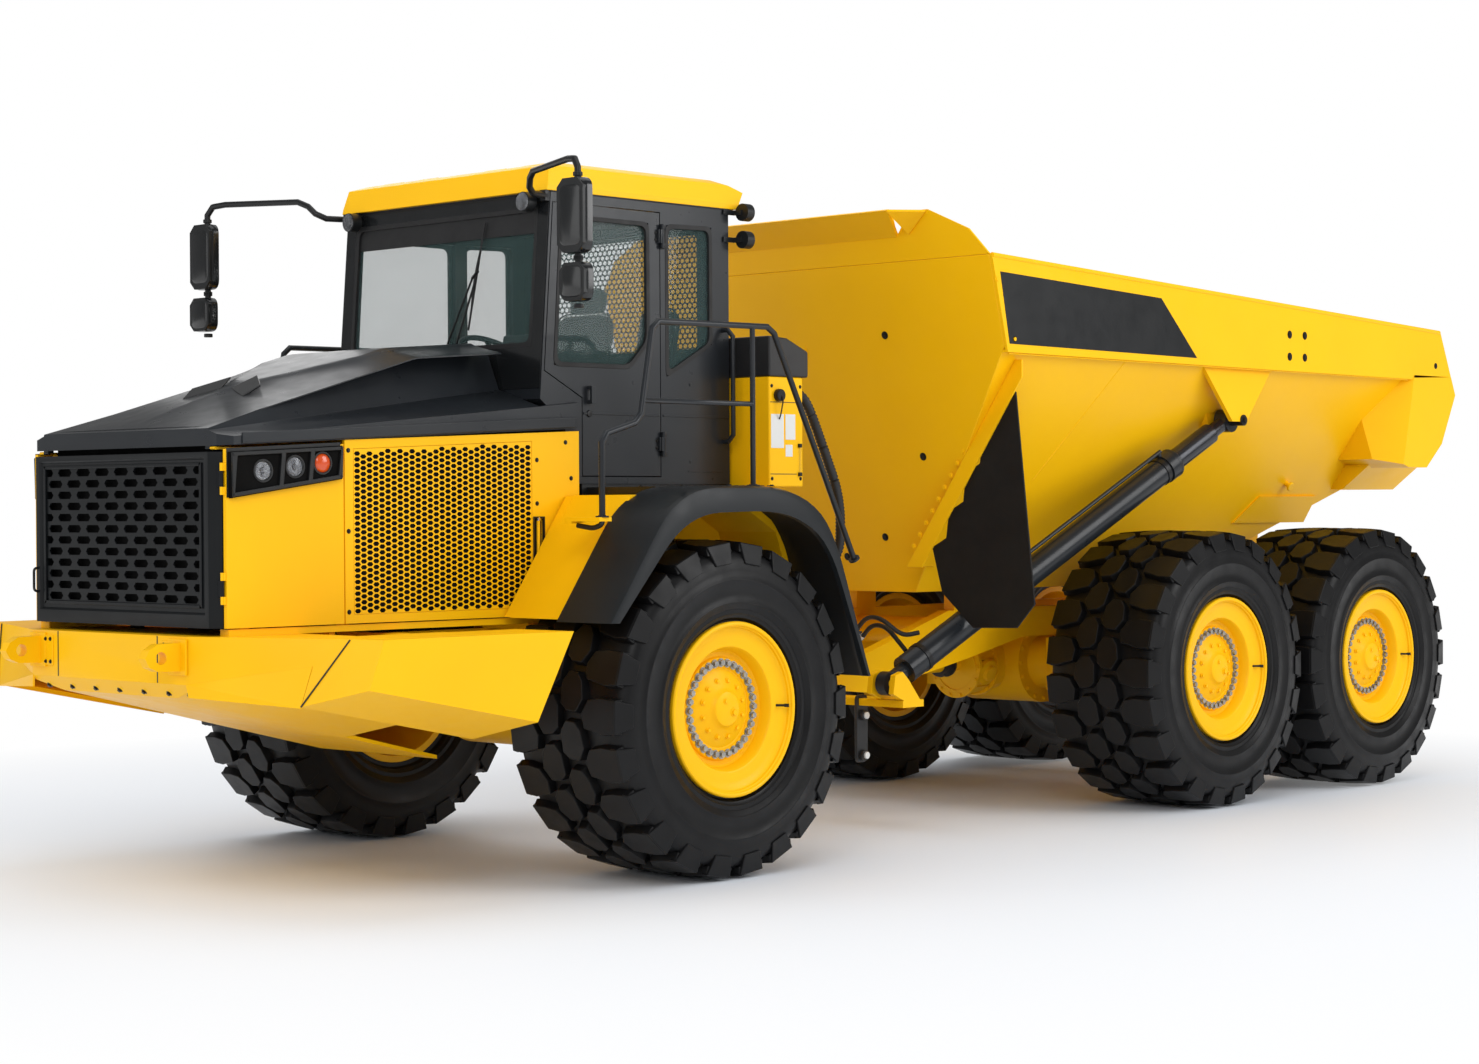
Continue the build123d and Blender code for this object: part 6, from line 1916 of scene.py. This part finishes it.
    def engine(self) -> None:
        """Rib the engine and add its pulleys, pipe and fan."""
        block = Solid("engine_dressing")
        for k in range(6):
            y = -1.94 + k * 0.21
            block.block((-0.35, y, 1.2), (-0.329, y + 0.1, 1.75))
            block.block((0.329, y, 1.2), (0.35, y + 0.1, 1.75))
            block.block((-0.24, y, 2.199), (0.24, y + 0.14, 2.25))
        for x, z, radius in ((0.0, 1.55, 0.15), (0.2, 1.95, 0.07)):
            block.bar((x, -2.06, z), (x, -2.1, z), radius, 32)
        block.tube([(0.35, -1.2, 1.95), (0.48, -1.2, 1.98), (0.48, -0.9, 2.05), (0.4, -0.75, 2.05)], 0.055,
                   0.08, 16)
        block.finished(CASTING, 0.008, 2)
        fan = Solid("fan_blades")
        for k in range(9):
            a = 2 * math.pi * k / 9
            root, tip = (Vector((r * math.cos(a + twist), r * math.sin(a + twist)))
                         for r, twist in ((0.09, 0), (0.36, 0.25)))
            wide = Vector((-math.sin(a), math.cos(a))) * 0.05
            corners = ((root - wide, -2.15), (root + wide, -2.178), (tip + wide, -2.178), (tip - wide, -2.15))
            fan.prism([(p.x, y, 1.88 + p.y) for p, y in corners], (0, 0.004, 0))
        fan.finished(CHASSIS, sharp=30)

    def links(self) -> None:
        """Add the locking link with its pins that hangs beside the hitch."""
        corners = [(2.2, 0.42), (2.296, 0.42), (2.305, 0.5), (2.305, 0.845), (2.2, 0.845)]
        outline = rounded_outline(corners, 0.03)
        y, eyes = 2.25, (0.466, 0.718)
        for sign, word in SIDES:
            link = Solid(f"hanging_link_{word}", Body.REAR)
            link.prism(upright(0, sign * 0.775, outline), (sign * 0.022, 0, 0))
            for z in eyes:
                link.bar((sign * 0.765, y, z), (sign * 0.83, y, z), 0.034)
            link.finished(CHASSIS, 0.006, 2)
            pins = Solid(f"link_pins_{word}", Body.REAR)
            for z in eyes:
                pins.bar((sign * 0.828, y, z), (sign * 0.842, y, z), 0.022)
            pins.finished(LABEL, 0.002, 1)


# ---------------------------------------------------------------- tipping body
@dataclass
class TipBody:
    """Load body with its bands, bolts, flaps and bare side panels."""

    half: float = 1.72

    def build(self) -> None:
        """Make the load body's pieces."""
        soften_all(Body.BIN, bin_shell=(YELLOW, 0.008), bin_frame=(YELLOW, 0.01), spill_guard=(YELLOW, 0.006),
                   flaps=(SHEET_RUBBER, 0.004), flap_ledges=(YELLOW, 0.004))
        self.side_panels()
        self.bolts()
        self.flap_bolts()
        self.edges()

    def wall(self, z: float) -> float:
        """Outer face of the sloping wall at a height."""
        return 0.64 + (z - 1.47) * 0.6842

    def rim(self, y: float) -> float:
        """Height of the side wall's top edge."""
        return 3.575 - (y - 2.42) * 0.255 / 5.41

    def side_panels(self) -> None:
        """Lay the bare dark panels on the side bands and a blank plate on the headboard."""
        outline = [(2.5, 3.47), (4.205, 3.392), (4.615, 3.012), (2.59, 3.03)]
        panel = Solid("side_bands_dark", Body.BIN).prism(upright(0, self.half - 0.0005, outline),
                                                         (0.0025, 0, 0))
        panel.mirrored().finished(MOULDED, *FINE)
        plate = Solid("body_blank_plate", Body.BIN).block((-0.06, 2.56, 3.02), (0.06, 2.545, 3.1))
        plate.finished(YELLOW, 0.002, 1)

    def bolts(self) -> None:
        """Add the body's bolts, tail plugs and lifting lugs."""
        side = Solid("body_side_bolts", Body.BIN)
        side.bolts([(self.half, y, z) for y in (5.75, 5.944) for z in (3.062, 3.216)], LEFT, 0.02, 0.008)
        side.bolt((self.half, 7.758, 3.063), LEFT, 0.016, 0.006)
        board = [(x, 2.42 + (3.575 - z) * 0.26, z)
                 for x, z in ((0.755, 3.125), (0.462, 1.832), (0.9, 2.35), (0.1, 1.7))]
        side.bolts(board, (0, -1, -0.26), 0.018, 0.009)
        side.mirrored().finished(BLACK_BOLT, *FINE)
        spots = [(self.half, y, z) for y, z in ((2.47, 3.42), (2.64, 3.06))]
        Solid("body_bolts", Body.BIN).bolts(spots, LEFT, 0.013, 0.008).mirrored().finished(YELLOW, *FINE)
        lugs = Solid("body_lugs", Body.BIN)
        lugs.lathe([(0, 0.02), (0.05, 0.018), (0.05, 0.034), (0.062, 0.034), (0.066, 0.028), (0.066, 0.001),
                    (0, 0.001)],
                   (self.wall(2.19) - 0.012, 6.62, 2.19), (1, 0, -0.6), 24)
        lugs.mirrored().finished(YELLOW, 0.002, 1)

    def flap_bolts(self) -> None:
        """Bolt the flaps along their slanting ledges."""
        row = [Vector((0.82, 2.736, 1.775)).lerp(Vector((1.54, 2.736, 2.83)), step / 14)
               for step in range(15)]
        Solid("flap_bolts", Body.BIN).bolts(row, FRONT, 0.013, 0.01).mirrored().finished(YELLOW, *FINE)

    def edges(self) -> None:
        """Add the guard's gussets, the bars along the top edges and the weld seams."""
        gussets = Solid("guard_gussets", Body.BIN)
        gussets.prism([(1.1, 2.156, 3.8735), (1.1, 2.372, 3.742), (1.262, 2.346, 3.8735)],
                      (0.0, -0.006, -0.014))
        gussets.mirrored().finished(YELLOW, 0.002, 1)
        route = [(1.712, y, self.rim(y) - 0.006) for y in (2.43, 7.82)]
        Solid("body_top_bars", Body.BIN).tube(route, 0.016, 0.01).mirrored().finished(YELLOW, sharp=50)
        slanted = [(self.wall(z) - 0.002, y, z) for y, z in ((3.881, 2.97), (3.569, 2.2))]
        seams = Solid("body_weld_seams", Body.BIN).tube(slanted, 0.006, 0.01, 8)
        seams.tube([(1.703, 2.6, 2.972), (1.703, 7.38, 2.95)], 0.006, 0.01, 8)
        seams.mirrored().finished(YELLOW, sharp=50)


@dataclass
class Cylinders:
    """Tipping and steering cylinders with their glands, clamps and eyes."""

    base: Point = (1.05, 2.2, 0.93)
    top: Point = (1.53, 5.24, 2.61)

    def build(self) -> None:
        """Make the cylinders' pieces."""
        parts = (("tip_barrel", SLATE, 0.004), ("tip_rod", DARK_ROD, 0.003), ("steer_barrel", SLATE, 0.004),
                 ("steer_rod", CHROME, 0.002, 1))
        for sign, word in SIDES:
            for part, finish, *rounding in parts:
                softened(f"{part}_{word}", f"{part}_{word}", finish, *rounding)
            self.dressing(sign, word)

    def along(self, distance: float, sign: int) -> Point:
        """Find a point on the tipping cylinder's axis.

        Args:
            distance: Distance from the foot.
            sign: 1 on the left, -1 on the right.

        Returns:
            The point.
        """
        start, stop = Vector(self.base), Vector(self.top)
        place = start + (stop - start).normalized() * distance
        return (place.x * sign, place.y, place.z)

    def dressing(self, sign: int, word: str) -> None:
        """Add the band clamps, the gland nut, the rod's sleeve and its pin.

        Args:
            sign: 1 on the left, -1 on the right.
            word: the side's name.
        """
        length = (Vector(self.top) - Vector(self.base)).length
        axis = Vector(self.along(1, sign)) - Vector(self.along(0, sign))
        clamp = [(0, 0.089), (0, 0.096), (0.035, 0.096), (0.035, 0.089)]
        rings = Solid(f"tip_clamps_{word}", f"tip_barrel_{word}")
        for spot in (0.3, length - 0.76):
            rings.lathe(clamp, self.along(spot, sign), axis, 32, True)
        rings.finished(BLACK_BOLT, *FINE)
        gland = Solid(f"tip_gland_{word}", f"tip_barrel_{word}")
        gland.lathe([(0, 0.0735), (0, 0.1), (0.012, 0.104), (0.03, 0.104), (0.038, 0.096), (0.038, 0.0735)],
                    self.along(length - 0.64, sign), axis, 40, True)
        gland.finished(SLATE, 0.002, 1)
        tube = [(0, 0.07), (0, 0.0726), (0.33, 0.0726), (0.33, 0.07)]
        sleeve = Solid(f"tip_sleeve_{word}", f"tip_rod_{word}").lathe(tube, self.along(length - 0.596, sign),
                                                                      axis, 40, True)
        sleeve.finished(DARK_ROD, sharp=40)
        x, y, z = self.top
        end = (sign * (x + 0.15), y, z)
        pin = Solid(f"tip_pin_{word}", Body.BIN).bar((sign * (x - 0.075), y, z), end, 0.038, 32)
        pin.bolt(end, (sign, 0, 0), 0.02, 0.014)
        pin.finished(BLACK_BOLT, 0.003, 1)


# ---------------------------------------------------------------- assembly
def main() -> None:
    """Dress the frame, build every sub-assembly and set up the studio."""
    for end, hub in (("front", FRONT_HUB), ("middle", MIDDLE_HUB), ("rear", REAR_HUB)):
        for side, word in ((1, "left"), (-1, "right")):
            Wheel(f"{end}_{word}", side, Vector((abs(hub.x) * side, hub.y, hub.z))).build()
    for assembly in (Nose(), Bumper(), Cab(), Seats(), Decks(), Chassis(), TipBody(), Cylinders(), Studio()):
        assembly.build()


if __name__ == "__main__":
    logging.basicConfig(level=logging.INFO, format="%(name)s %(message)s")
    main()
